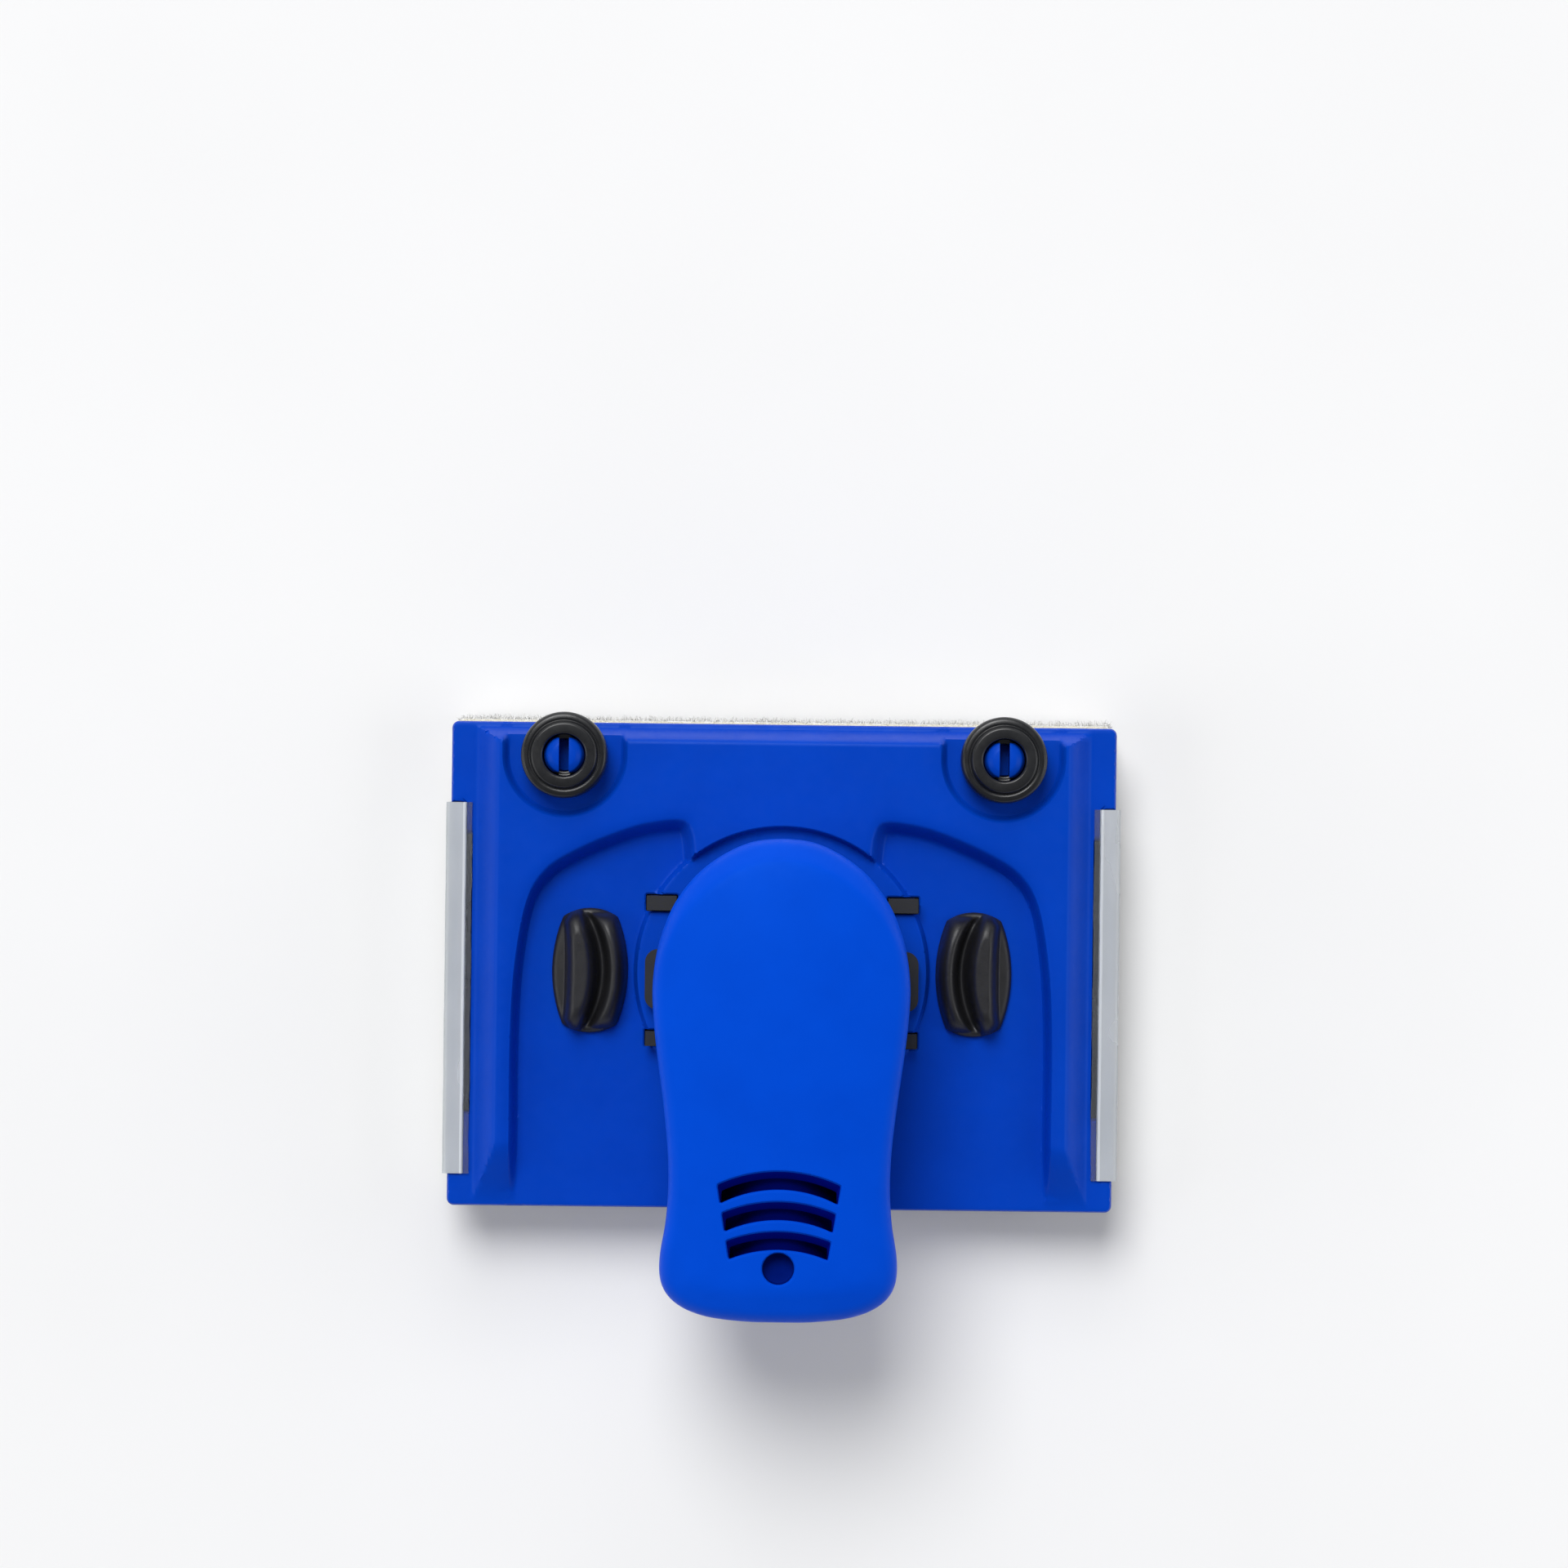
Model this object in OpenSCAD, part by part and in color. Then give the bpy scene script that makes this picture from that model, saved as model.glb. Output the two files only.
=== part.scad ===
// Paint pad edger: a shield plate with two guide wheels, a slide-out flocked
// pad underneath and a swivelling palm handle that takes a threaded pole.
// Origin: centre of the painting face. X runs along the pad, +Y points at the
// guided edge, +Z points away from the wall, towards the hand.

/* [Shield plate] */
// Width of the shield plate along the pad
plate_w = 127; // [120:1:140]
// Depth of the shield plate from the bottom edge to the guided edge
plate_d = 92.5; // [90:0.5:100]
// Thickness of the moulded wall
wall_t = 2; // [1.6:0.1:2.4]
// Height of the raised rim and top band above the flange
rim_h = 5; // [4:0.5:5]

/* [Guide wheels] */
// Outer diameter of a guide wheel
wheel_d = 16.4; // [14:0.1:17]
// Thickness of a guide wheel
wheel_t = 7; // [6:0.5:7]
// Distance of each wheel axle from the centre line
wheel_x = 41.7; // [38:0.1:44]
// Position of the wheel axles towards the guided edge
wheel_y = 40; // [39:0.1:40.5]
// Radius of the axle post
axle_r = 3; // [2.6:0.1:3.2]

/* [Pad] */
// Half width of the foam block
foam_hw = 62.6; // [56:0.1:63]
// Thickness of the flocked painting layer
flock_t = 2.2; // [1.5:0.1:3]
// Height of the top of the foam
foam_top = 7; // [6:0.1:7.2]

/* [Handle] */
// Height of the top of the handle at its crown
crown_z = 51.5; // [50:0.5:56]
// Height of the joint line between the two handle shells
split_z = 33; // [32:0.5:34]
// Wall of the handle shells
shell_t = 2.4; // [2:0.1:2.6]
// Swivel travel to each side, in degrees
swivel_deg = 90; // [45:5:90]

/* [Pole socket] */
// Radius of the socket bore that takes the pole thread
socket_r = 9.7; // [9.6:0.05:9.9]
// Length of the socket bore
socket_len = 30; // [24:1:30]

/* [Hidden] */
$fn = 64;

px = 0; py = -1;                 // swivel axis
y_top = plate_d/2 + 0.05;        // guided edge of the plate
y_bot = -plate_d/2 + 0.05;       // bottom edge of the plate
fl_z0 = 12.5;                    // underside of the flange
fl_z1 = fl_z0 + wall_t;          // top of the flange
rim_z = fl_z1 + rim_h;           // crest of the rim and the top band
post_z = rim_z - 2;              // floor of the pocket around each wheel
disc_z = 17;                     // top of the round plateau under the handle
disc_r = 28;
hub_z = 24.2;                    // top of the swivel turret
under_z = 25.2;                  // underside of the handle
sock_z = 35.5;                   // height of the pole axis
sock_ro = 11.8;
sock_y0 = -62.2;                 // mouth of the socket
guard_y0 = -40.1; guard_y1 = 30.8;
blue = [0.02, 0.30, 0.82];
black = [0.06, 0.065, 0.08];
milky = [0.80, 0.83, 0.86, 0.6];
steel = [0.75, 0.76, 0.78];

// smooth curve through hand-picked points
function cr(a, b, c, d, t) =
    0.5*((2*b) + (c - a)*t + (2*a - 5*b + 4*c - d)*t*t + (3*b - a - 3*c + d)*t*t*t);
function smooth(p, n) = let (m = len(p)) concat(
    [for (i = [0:m-2]) for (k = [0:n-1])
        cr(p[max(i-1, 0)], p[i], p[i+1], p[min(i+2, m-1)], k/n)], [p[m-1]]);
function unit(v) = v/norm(v);
function inset(p, d) = [for (i = [0:len(p)-1])
    let (a = p[max(i-1, 0)], b = p[min(i+1, len(p)-1)], t = unit(b - a))
    [max(0, p[i][0] + t[1]*d), p[i][1] - t[0]*d]];
function reflect(p) = [for (i = [len(p)-1:-1:0]) [-p[i][0], p[i][1]]];

// half outline of the handle seen from the front, from nose to tail
boot = [[0, 24.8], [5.5, 24.2], [11, 21.8], [16, 18], [19.8, 13], [22, 8],
        [23.3, 3], [23.9, -3], [23.6, -9], [22.8, -16], [21.7, -24],
        [20.8, -32], [20.5, -39], [20.9, -46], [22, -53], [21.6, -58],
        [19, -61.4], [14, -63.6], [7, -64.5], [0, -64.7]];
// crown of the handle from nose to tail
crown = [[24.8, -13], [23.6, -9], [21, -6], [16, -3.7], [8, -1.8], [-4, -0.7],
         [-20, 0], [-40, 0], [-54, -0.4], [-60, -1.3], [-63.2, -3.2], [-64.7, -6.5]];
// dome of the handle from the centre line outwards
dome = [[0, 0], [6, -0.2], [12, -0.8], [17, -2], [20.5, -4], [22.6, -6.8], [23.9, -10.5]];

module boot2d(d) {
    h = inset(smooth(boot, 4), d);
    polygon(concat(h, reflect(h)));
}

// a solid of the handle's outer form, drawn in by d, standing on z0
module boot_solid(d, z0) {
    c = smooth(crown, 4);
    e = smooth(dome, 4);
    intersection() {
        translate([0, 0, z0]) linear_extrude(crown_z - z0 + 1) boot2d(d);
        rotate([90, 0, 90]) translate([0, 0, -30]) linear_extrude(60)
            polygon(concat([for (p = c) [p[0], crown_z - d + p[1]]], [[-66, crown_z - 16], [-66, z0 - 1], [26, z0 - 1], [26, crown_z - 16]]));
        rotate([90, 0, 0]) translate([0, 0, -30]) linear_extrude(100)
            polygon(concat([for (p = e) [p[0], crown_z - d + p[1]]], [[24.5, z0 - 1], [-24.5, z0 - 1]],
                reflect([for (p = e) [p[0], crown_z - d + p[1]]])));
    }
}

// rectangle with round corners
module rrect(x0, x1, y0, y1, r) {
    translate([x0 + r, y0]) square([x1 - x0 - 2*r, y1 - y0]);
    translate([x0, y0 + r]) square([x1 - x0, y1 - y0 - 2*r]);
    for (x = [x0 + r, x1 - r], y = [y0 + r, y1 - r]) translate([x, y]) circle(r);
}
module ring(ro, ri, z0, z1) {
    translate([0, 0, z0]) difference() {
        cylinder(h = z1 - z0, r = ro);
        translate([0, 0, -1]) cylinder(h = z1 - z0 + 2, r = ri);
    }
}

// floor area of the finger wells, seen from the front
module well2d() {
    w = smooth([[51.3, -30], [51.3, -14], [50.6, 0], [48.5, 12], [45, 18], [39.4, 21.7], [32, 25], [26, 26.9], [19.5, 27.6], [17.6, 25.4], [17, 20.6]], 4);
    difference() {
        polygon(concat([[0, y_bot - 1], [51.4, y_bot - 1]], w, [[17, 10], [0, 10]]));
        translate([px, py]) circle(disc_r);
        translate([-1, py]) square([18, 30]);
    }
}
module wells2d() { well2d(); mirror([1, 0]) well2d(); }

// window for a carrier hook
hook_y = [12.05, -13.75];
module windows(g, z0, z1) {
    for (s = [-1, 1], y = hook_y)
        translate([s*23 - 2.95 - g, y - 1.5 - g, z0]) cube([5.9 + 2*g, 3 + 2*g, z1 - z0]);
}
screw_a = [45, 135, 225, 315];

module shield_plate() color(blue) {
    difference() {
        union() {
            difference() {
                union() {
                    // flange
                    translate([0, 0, fl_z0]) linear_extrude(wall_t) difference() {
                        rrect(-plate_w/2, plate_w/2, y_bot, y_top, 1.3);
                        for (s = [-1, 1]) translate([s > 0 ? 60.8 : -plate_w/2 - 1, -40]) square([plate_w/2 - 59.8, 70.8]);
                    }
                    // raised rim and band with sloping outer faces
                    intersection() {
                        translate([0, 0, fl_z0 + 0.5]) linear_extrude(rim_z - fl_z0 - 0.5) difference() {
                            rrect(-58.8, 58.8, y_bot + 0.2, y_top - 0.6, 4);
                            wells2d();
                            translate([-17, y_bot - 1]) square([34, py - y_bot]);
                        }
                        rotate([90, 0, 0]) translate([0, 0, -60]) linear_extrude(120)
                            polygon([[-60, fl_z0], [60, fl_z0], [58.6, fl_z1], [54.6, rim_z], [-54.6, rim_z], [-58.6, fl_z1]]);
                        rotate([90, 0, 90]) translate([0, 0, -60]) linear_extrude(120)
                            polygon([[y_bot, fl_z0], [y_top, fl_z0], [y_top - 0.6, fl_z1], [y_top - 2.2, rim_z], [-34, rim_z], [y_bot + 1.5, fl_z1]]);
                    }
                    // round plateau under the handle
                    translate([px, py, fl_z0]) cylinder(h = disc_z - fl_z0, r = disc_r, $fn = 128);
                }
                // pocket around each wheel, open to the guided edge
                for (s = [-1, 1]) {
                    translate([s*wheel_x, wheel_y, post_z]) cylinder(h = 20, r = 11.4);
                    translate([s*wheel_x - 11.4, wheel_y, post_z]) cube([22.8, 20, 20]);
                }
            }
            // axle posts
            for (s = [-1, 1]) translate([s*wheel_x, wheel_y, 0]) {
                translate([0, 0, post_z - 0.5]) cylinder(h = 1, r = 5);
                translate([0, 0, post_z - 0.5]) cylinder(h = 5.6, r = axle_r);
                translate([0, 0, post_z + 4.7]) intersection() {
                    rotate_extrude() polygon([[0, 0], [3.85, 0], [3.85, 0.9], [3.3, 1.9], [2.2, 2.5], [0, 2.7]]);
                    translate([-5, -3.25, -1]) cube([10, 6.5, 5]);
                }
            }
        }
        // split through each axle post
        for (s = [-1, 1]) translate([s*wheel_x - 0.95, wheel_y - 5, post_z + 1]) cube([1.9, 10, 8]);
        // level off the plateau inside the band
        translate([px, py, disc_z]) cylinder(h = 10, r = disc_r - 0.8, $fn = 128);
        // hollow underside of the plateau
        translate([px, py, fl_z0 - 1]) cylinder(h = disc_z - wall_t - fl_z0 + 1, r = disc_r - wall_t, $fn = 128);
        // hollow undersides of the band and the rims
        for (s = [-1, 1]) {
            translate([s*43.5 - 7, 29.5, fl_z0 - 1]) cube([14, 14, 1 + post_z - wall_t - fl_z0]);
            translate([s*54 - 0.9, -31, fl_z0 - 1]) cube([1.8, 41, 1 + rim_z - wall_t - fl_z0]);
        }
        translate([-31, 30, fl_z0 - 1]) cube([62, 13.5, 1 + rim_z - wall_t - fl_z0]);
        // seat of the swivel base, its screws and the hook windows
        translate([px, py, 0]) cylinder(h = 30, r = 12.2);
        for (a = screw_a) translate([px, py, 0]) rotate([0, 0, a]) translate([16.6, 0, 0]) cylinder(h = 30, r = 1.3, $fn = 32);
        windows(0.15, 0, 30);
    }
}

module pad_carrier() color(black) {
    difference() {
        translate([0, 0, 10.9]) linear_extrude(1.5) difference() {
            rrect(-57.5, 57.5, -43.5, 44.5, 3);
            translate([px, py]) circle(11);
        }
    }
    for (s = [-1, 1]) {
        translate([s > 0 ? 54.4 : -57.5, -43, 8.7]) cube([3.1, 86, 2.3]);
        translate([s > 0 ? 52.2 : -54.5, -43, 8.7]) cube([2.3, 86, 0.6]);
        for (y = hook_y) {
            translate([s*23 - 2.2, y - 1.4, 12.3]) cube([4.4, 2.8, 5.9]);
            translate([s*23 - 2.85, y - 1.4, 17.1]) cube([5.7, 2.8, 1.1]);
        }
    }
    translate([-52, 43, 8.7]) cube([104, 1.5, 2.3]);
}

module swivel_base() color(black) translate([px, py, 0]) {
    difference() {
        union() {
            cylinder(h = hub_z, r = 14);
            translate([0, 0, disc_z]) cylinder(h = 3.5, r = 19.3, $fn = 96);
            // two ears that show beside the handle
            translate([0, 0, disc_z]) linear_extrude(3) intersection() {
                rrect(-26, 26, -7.1, 4.3, 2.4);
                circle(26.9, $fn = 128);
            }
        }
        // step down to the spigot that sits in the shield plate
        translate([0, 0, -1]) cylinder(h = 13.6, r = 30);
        translate([0, 0, 12]) difference() {
            cylinder(h = disc_z - 12, r = 30);
            translate([0, 0, -1]) cylinder(h = 10, r = 12.1);
        }
        translate([0, 0, 10]) cylinder(h = 9.8, r = 9.6);
        cylinder(h = 40, r = 6);
        // stop groove
        difference() {
            translate([0, 0, hub_z - 1.7]) rotate([0, 0, 90 - swivel_deg - 6.4])
                rotate_extrude(angle = 2*swivel_deg + 12.8, $fn = 96) translate([9.9, 0]) square([2.4, 3]);
        }
        for (a = screw_a) rotate([0, 0, a]) translate([16.6, 0, disc_z - 1]) cylinder(h = 4, r = 1.1, $fn = 32);
    }
}

module base_screws() color(steel) translate([px, py, 0]) {
    for (a = screw_a) rotate([0, 0, a]) translate([16.6, 0, 0]) {
        difference() {
            translate([0, 0, 13.4]) cylinder(h = 1.6, r = 2.1, $fn = 32);
            translate([0, 0, 13]) { translate([-1.3, -0.25, 0]) cube([2.6, 0.5, 1.1]); translate([-0.25, -1.3, 0]) cube([0.5, 2.6, 1.1]); }
        }
        translate([0, 0, 14.9]) cylinder(h = 4.9, r = 1.05, $fn = 32);
    }
}

module bearing_washer() color([0.9, 0.9, 0.88]) translate([px, py, 0]) ring(9.3, 6.15, hub_z, hub_z + 0.7);

// barrel-shaped outline of a finger rest, drawn in by d
module rest2d(d) {
    intersection() {
        translate([19.7, 0]) circle(27 - d, $fn = 128);
        translate([-19.7, 0]) circle(27 - d, $fn = 128);
        union() {
            for (y = [-3, 3]) translate([0, y]) circle(9 - d, $fn = 96);
            translate([-9 + d, -3]) square([18 - 2*d, 6]);
        }
    }
}

// oval grip with two curved ribs that the thumb and finger push against
module finger_rest() {
    translate([0, -1, fl_z1]) {
        linear_extrude(1.6) rest2d(0);
        // broad outer rib, bulging towards the handle
        translate([0, 0, 1.5]) linear_extrude(5) intersection() {
            rest2d(0.7);
            translate([-19.15, 0]) circle(20.8, $fn = 128);
            translate([-4.8, -11]) square([10, 22]);
        }
        // narrow inner rib
        translate([0, 0, 1.5]) linear_extrude(4) difference() {
            intersection() {
                rest2d(0.5);
                translate([0, -10.4]) square([8, 20.8]);
            }
            translate([-17.6, 0]) circle(20.7, $fn = 128);
        }
    }
}
module finger_rest_left() color(black) translate([-36.6, 0, 0]) finger_rest();
module finger_rest_right() color(black) translate([36.6, 0, 0]) mirror([1, 0, 0]) finger_rest();

// clip-on film guard with a skirt beside the pad
module guard() {
    translate([0, guard_y1, 0]) rotate([90, 0, 0]) linear_extrude(guard_y1 - guard_y0) difference() {
        polygon([[59.4, 14.55], [59.4, 15.15], [63.9, 15.15], [64.5, 14.6], [64.5, 3], [63.9, 3], [63.9, 11.85], [59.9, 11.85], [59.9, 12.45], [63.4, 12.45], [63.4, 14.55]]);
    }
}
module side_guard_left() color(milky) mirror([1, 0, 0]) guard();
module side_guard_right() color(milky) guard();

module wheel() color(black) {
    z0 = post_z + 0.6;
    difference() {
        rotate_extrude($fn = 96) polygon([[0, z0], [wheel_d/2 - 0.6, z0], [wheel_d/2, z0 + 0.6], [wheel_d/2, z0 + wheel_t - 1.6],
            [wheel_d/2 - 0.6, z0 + wheel_t - 1], [5.8, z0 + wheel_t - 1], [5.5, z0 + wheel_t], [0, z0 + wheel_t]]);
        translate([0, 0, z0 - 1]) cylinder(h = 20, r = axle_r + 0.05);
        translate([0, 0, z0 + 3.9]) cylinder(h = 20, r = 4.05);
        translate([0, 0, z0 - 1]) cylinder(h = 1.2, r = 5.2);
    }
}
module guide_wheel_left() translate([-wheel_x, wheel_y, 0]) wheel();
module guide_wheel_right() translate([wheel_x, wheel_y, 0]) wheel();

module pad_backing() color([0.92, 0.92, 0.9]) {
    translate([0, 0, foam_top]) linear_extrude(1.4) rrect(-59.8, 59.8, -43.8, 46.4, 2);
    translate([-51.9, -43.4, foam_top + 1.3]) cube([103.8, 86, 1.4]);
    translate([-54.1, -43.4, foam_top + 2.6]) cube([108.2, 86, 1]);
}
module pad_foam() color([0.93, 0.9, 0.8]) translate([0, 0, flock_t]) linear_extrude(foam_top - flock_t) rrect(-foam_hw, foam_hw, -44, 46.7, 2);
module pad_flock() color("white") linear_extrude(flock_t) rrect(-foam_hw - 0.3, foam_hw + 0.3, -44.3, 47.2, 2.2);

shell_pts = [[14.5, 9], [15.4, -31]];
// room for the pole socket behind a narrower mouth in the end wall
module socket_clear(r) {
    translate([0, sock_y0 - 0.1, sock_z]) rotate([-90, 0, 0]) cylinder(h = socket_len + 2.8, r = r, $fn = 96);
    translate([0, -70, sock_z]) rotate([-90, 0, 0]) cylinder(h = 12, r = 10.4, $fn = 96);
}

module handle_top_shell() color(blue) {
    difference() {
        union() {
            difference() {
                boot_solid(0, split_z);
                boot_solid(shell_t, split_z - 5);
                // three arched slots
                intersection() {
                    linear_extrude(80) polygon([[-11.9, -36], [11.9, -36], [9.4, -51], [-9.4, -51]]);
                    for (y = [-62.5, -68.1, -73.6]) translate([0, y, 40]) linear_extrude(20) difference() {
                        circle(26.2, $fn = 128);
                        circle(22.8, $fn = 128);
                    }
                }
            }
            intersection() {
                boot_solid(0.5, split_z);
                union() {
                    for (s = [-1, 1], p = shell_pts) translate([s*p[0], p[1], split_z + 0.1]) cylinder(h = 20, r = 2.9, $fn = 32);
                    translate([0, -54.3, sock_z + 8]) cylinder(h = 20, r = 4.2);
                }
            }
        }
        for (s = [-1, 1], p = shell_pts) translate([s*p[0], p[1], split_z - 1]) cylinder(h = 9.4, r = 1.2, $fn = 32);
        socket_clear(sock_ro + 0.1);
        // dimple
        translate([0, -54.3, crown_z - 2.6]) cylinder(h = 5, r = 2.95);
    }
}

module handle_bottom_shell() color(blue) {
    difference() {
        union() {
            difference() {
                translate([0, 0, under_z]) linear_extrude(split_z - under_z) boot2d(0.8);
                translate([0, 0, under_z + 2.2]) linear_extrude(20) boot2d(3);
            }
            for (s = [-1, 1], p = shell_pts) translate([s*p[0], p[1], under_z]) cylinder(h = split_z - under_z, r = 3.3, $fn = 32);
            translate([px, py, under_z]) cylinder(h = 9, r = 6);
            translate([px, py, 18.7]) cylinder(h = under_z - 18.6, r = 5.95);
            // stop lug
            translate([px, py + 11.1, 22.9]) cylinder(h = under_z - 22.8, r = 0.9, $fn = 32);
            // saddle cheeks beside the socket
            for (s = [-1, 1]) translate([s*12.9 - 1.2, -61, under_z + 1]) cube([2.4, 27, split_z - under_z - 1]);
            // collar that closes the mouth under the underside
            intersection() {
                translate([0, 0, 20]) linear_extrude(split_z - 20.05) boot2d(0.8);
                translate([0, -66, sock_z]) rotate([-90, 0, 0]) cylinder(h = 3.7, r = 12.4, $fn = 96);
            }
        }
        translate([px, py, 18]) cylinder(h = 14, r = 1.6, $fn = 32);
        for (s = [-1, 1], p = shell_pts) translate([s*p[0], p[1], 0]) {
            translate([0, 0, under_z - 1]) cylinder(h = 2.6, r = 2.8, $fn = 32);
            cylinder(h = 50, r = 1.35, $fn = 32);
        }
        socket_clear(sock_ro + 0.1);
        translate([-11.2, sock_y0 - 0.1, 20]) cube([22.4, socket_len + 2.8, sock_z - 20]);
    }
}

module pole_socket() color(blue) {
    difference() {
        union() {
            translate([0, sock_y0, sock_z]) rotate([-90, 0, 0]) cylinder(h = socket_len + 2.5, r = sock_ro, $fn = 96);
        }
        translate([0, sock_y0 - 1, sock_z]) rotate([-90, 0, 0]) cylinder(h = socket_len + 1, r = socket_r, $fn = 96);
    }
}

module shell_screws() color(steel) {
    for (s = [-1, 1], p = shell_pts) translate([s*p[0], p[1], 0]) {
        difference() {
            translate([0, 0, under_z + 0.2]) cylinder(h = 1.4, r = 2.6, $fn = 32);
            translate([0, 0, under_z - 1]) { translate([-1.5, -0.3, 0]) cube([3, 0.6, 2]); translate([-0.3, -1.5, 0]) cube([0.6, 3, 2]); }
        }
        translate([0, 0, under_z + 1.5]) cylinder(h = 13.5, r = 1.15, $fn = 32);
    }
}
module wave_washer() color(steel) translate([px, py, 0]) ring(9.2, 6.2, 18.7, 19.5);
module retaining_washer() color(steel) translate([px, py, 0]) ring(9.2, 1.8, 17.7, 18.7);
module swivel_screw() color(steel) translate([px, py, 0]) {
    difference() {
        translate([0, 0, 15.9]) cylinder(h = 1.8, r = 4.2);
        translate([0, 0, 15]) { translate([-2.4, -0.4, 0]) cube([4.8, 0.8, 2]); translate([-0.4, -2.4, 0]) cube([0.8, 4.8, 2]); }
    }
    translate([0, 0, 17.6]) cylinder(h = 13, r = 1.55, $fn = 32);
}

shield_plate();
pad_carrier();
swivel_base();
base_screws();
bearing_washer();
finger_rest_left();
finger_rest_right();
side_guard_left();
side_guard_right();
guide_wheel_left();
guide_wheel_right();
pad_backing();
pad_foam();
pad_flock();
handle_top_shell();
handle_bottom_shell();
pole_socket();
shell_screws();
wave_washer();
retaining_washer();
swivel_screw();
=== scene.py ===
import bpy
import math
import numpy as np
from mathutils import Matrix, Vector
from mathutils.geometry import delaunay_2d_cdt


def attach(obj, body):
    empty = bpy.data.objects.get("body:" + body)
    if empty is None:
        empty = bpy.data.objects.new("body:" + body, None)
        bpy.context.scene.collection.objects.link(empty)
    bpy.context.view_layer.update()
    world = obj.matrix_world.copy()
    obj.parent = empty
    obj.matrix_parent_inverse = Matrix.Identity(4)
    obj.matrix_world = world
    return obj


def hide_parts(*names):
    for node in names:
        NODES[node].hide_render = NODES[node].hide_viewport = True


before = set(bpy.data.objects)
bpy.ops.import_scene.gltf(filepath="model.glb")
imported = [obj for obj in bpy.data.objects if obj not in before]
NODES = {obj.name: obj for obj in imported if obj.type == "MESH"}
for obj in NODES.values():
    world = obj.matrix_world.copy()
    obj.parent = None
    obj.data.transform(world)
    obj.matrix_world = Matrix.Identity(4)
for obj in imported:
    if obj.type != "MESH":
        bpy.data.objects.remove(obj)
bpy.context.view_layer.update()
MM = 0.001
nrng = np.random.default_rng(5)


# ------------------------------------------------------------------ helpers
def smoothstep(a, b, x):
    t = np.clip((x - a) / (b - a), 0.0, 1.0)
    return t * t * (3 - 2 * t)


def smooth_line(p, n):
    """Catmull-Rom curve through given points."""
    p = np.array(p, float)
    m = len(p)
    out = []
    for i in range(m - 1):
        a, b, c, d = p[max(i - 1, 0)], p[i], p[i + 1], p[min(i + 2, m - 1)]
        for k in range(n):
            t = k / n
            out.append(0.5 * (2 * b + (c - a) * t + (2 * a - 5 * b + 4 * c - d) * t * t + (3 * b - a - 3 * c + d) * t ** 3))
    out.append(p[-1])
    return np.array(out)


def resample(loop, step):
    """Evenly spaced points along a closed loop."""
    p = np.vstack([loop, loop[:1]])
    seg = np.linalg.norm(np.diff(p, axis=0), axis=1)
    s = np.r_[0, np.cumsum(seg)]
    n = max(8, int(round(s[-1] / step)))
    t = np.linspace(0, s[-1], n, endpoint=False)
    return np.c_[np.interp(t, s, p[:, 0]), np.interp(t, s, p[:, 1])]


def loop_normals(loop):
    """Outward normals of a closed counter-clockwise loop."""
    t = np.roll(loop, -1, 0) - np.roll(loop, 1, 0)
    t /= np.maximum(np.linalg.norm(t, axis=1), 1e-9)[:, None]
    return np.c_[t[:, 1], -t[:, 0]]


def ccw(loop):
    a = np.sum(loop[:, 0] * np.roll(loop[:, 1], -1) - np.roll(loop[:, 0], -1) * loop[:, 1])
    return loop if a > 0 else loop[::-1].copy()


def signed_dist(P, loop):
    """Distance of each point to a closed loop, positive inside."""
    A, B = loop, np.roll(loop, -1, 0)
    out = np.empty(len(P))
    for s in range(0, len(P), 4000):
        Q = P[s:s + 4000]
        AB = B - A
        AP = Q[:, None, :] - A[None]
        t = np.clip((AP * AB[None]).sum(2) / np.maximum((AB * AB).sum(1), 1e-12)[None], 0, 1)
        D = AP - t[..., None] * AB[None]
        d = np.sqrt((D * D).sum(2).min(1))
        y0, y1 = A[:, 1][None], B[:, 1][None]
        x0, x1 = A[:, 0][None], B[:, 0][None]
        qy, qx = Q[:, 1][:, None], Q[:, 0][:, None]
        cond = (y0 > qy) != (y1 > qy)
        with np.errstate(divide="ignore", invalid="ignore"):
            xi = (x1 - x0) * (qy - y0) / (y1 - y0) + x0
        inside = (np.sum(cond & (qx < xi), axis=1) % 2) == 1
        out[s:s + 4000] = np.where(inside, d, -d)
    return out


def thin(points, fixed, gap):
    """Drops free points nearer than gap to a kept one."""
    cell = gap
    grid = {}
    for q in fixed:
        grid.setdefault((int(q[0] // cell), int(q[1] // cell)), []).append(q)
    kept = []
    for q in points:
        cx, cy = int(q[0] // cell), int(q[1] // cell)
        ok = True
        for i in (cx - 1, cx, cx + 1):
            for j in (cy - 1, cy, cy + 1):
                for r in grid.get((i, j), ()):
                    if (r[0] - q[0]) ** 2 + (r[1] - q[1]) ** 2 < gap * gap:
                        ok = False
                        break
                if not ok:
                    break
            if not ok:
                break
        if ok:
            kept.append(q)
            grid.setdefault((cx, cy), []).append(q)
    return np.array(kept) if kept else np.zeros((0, 2))


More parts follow.
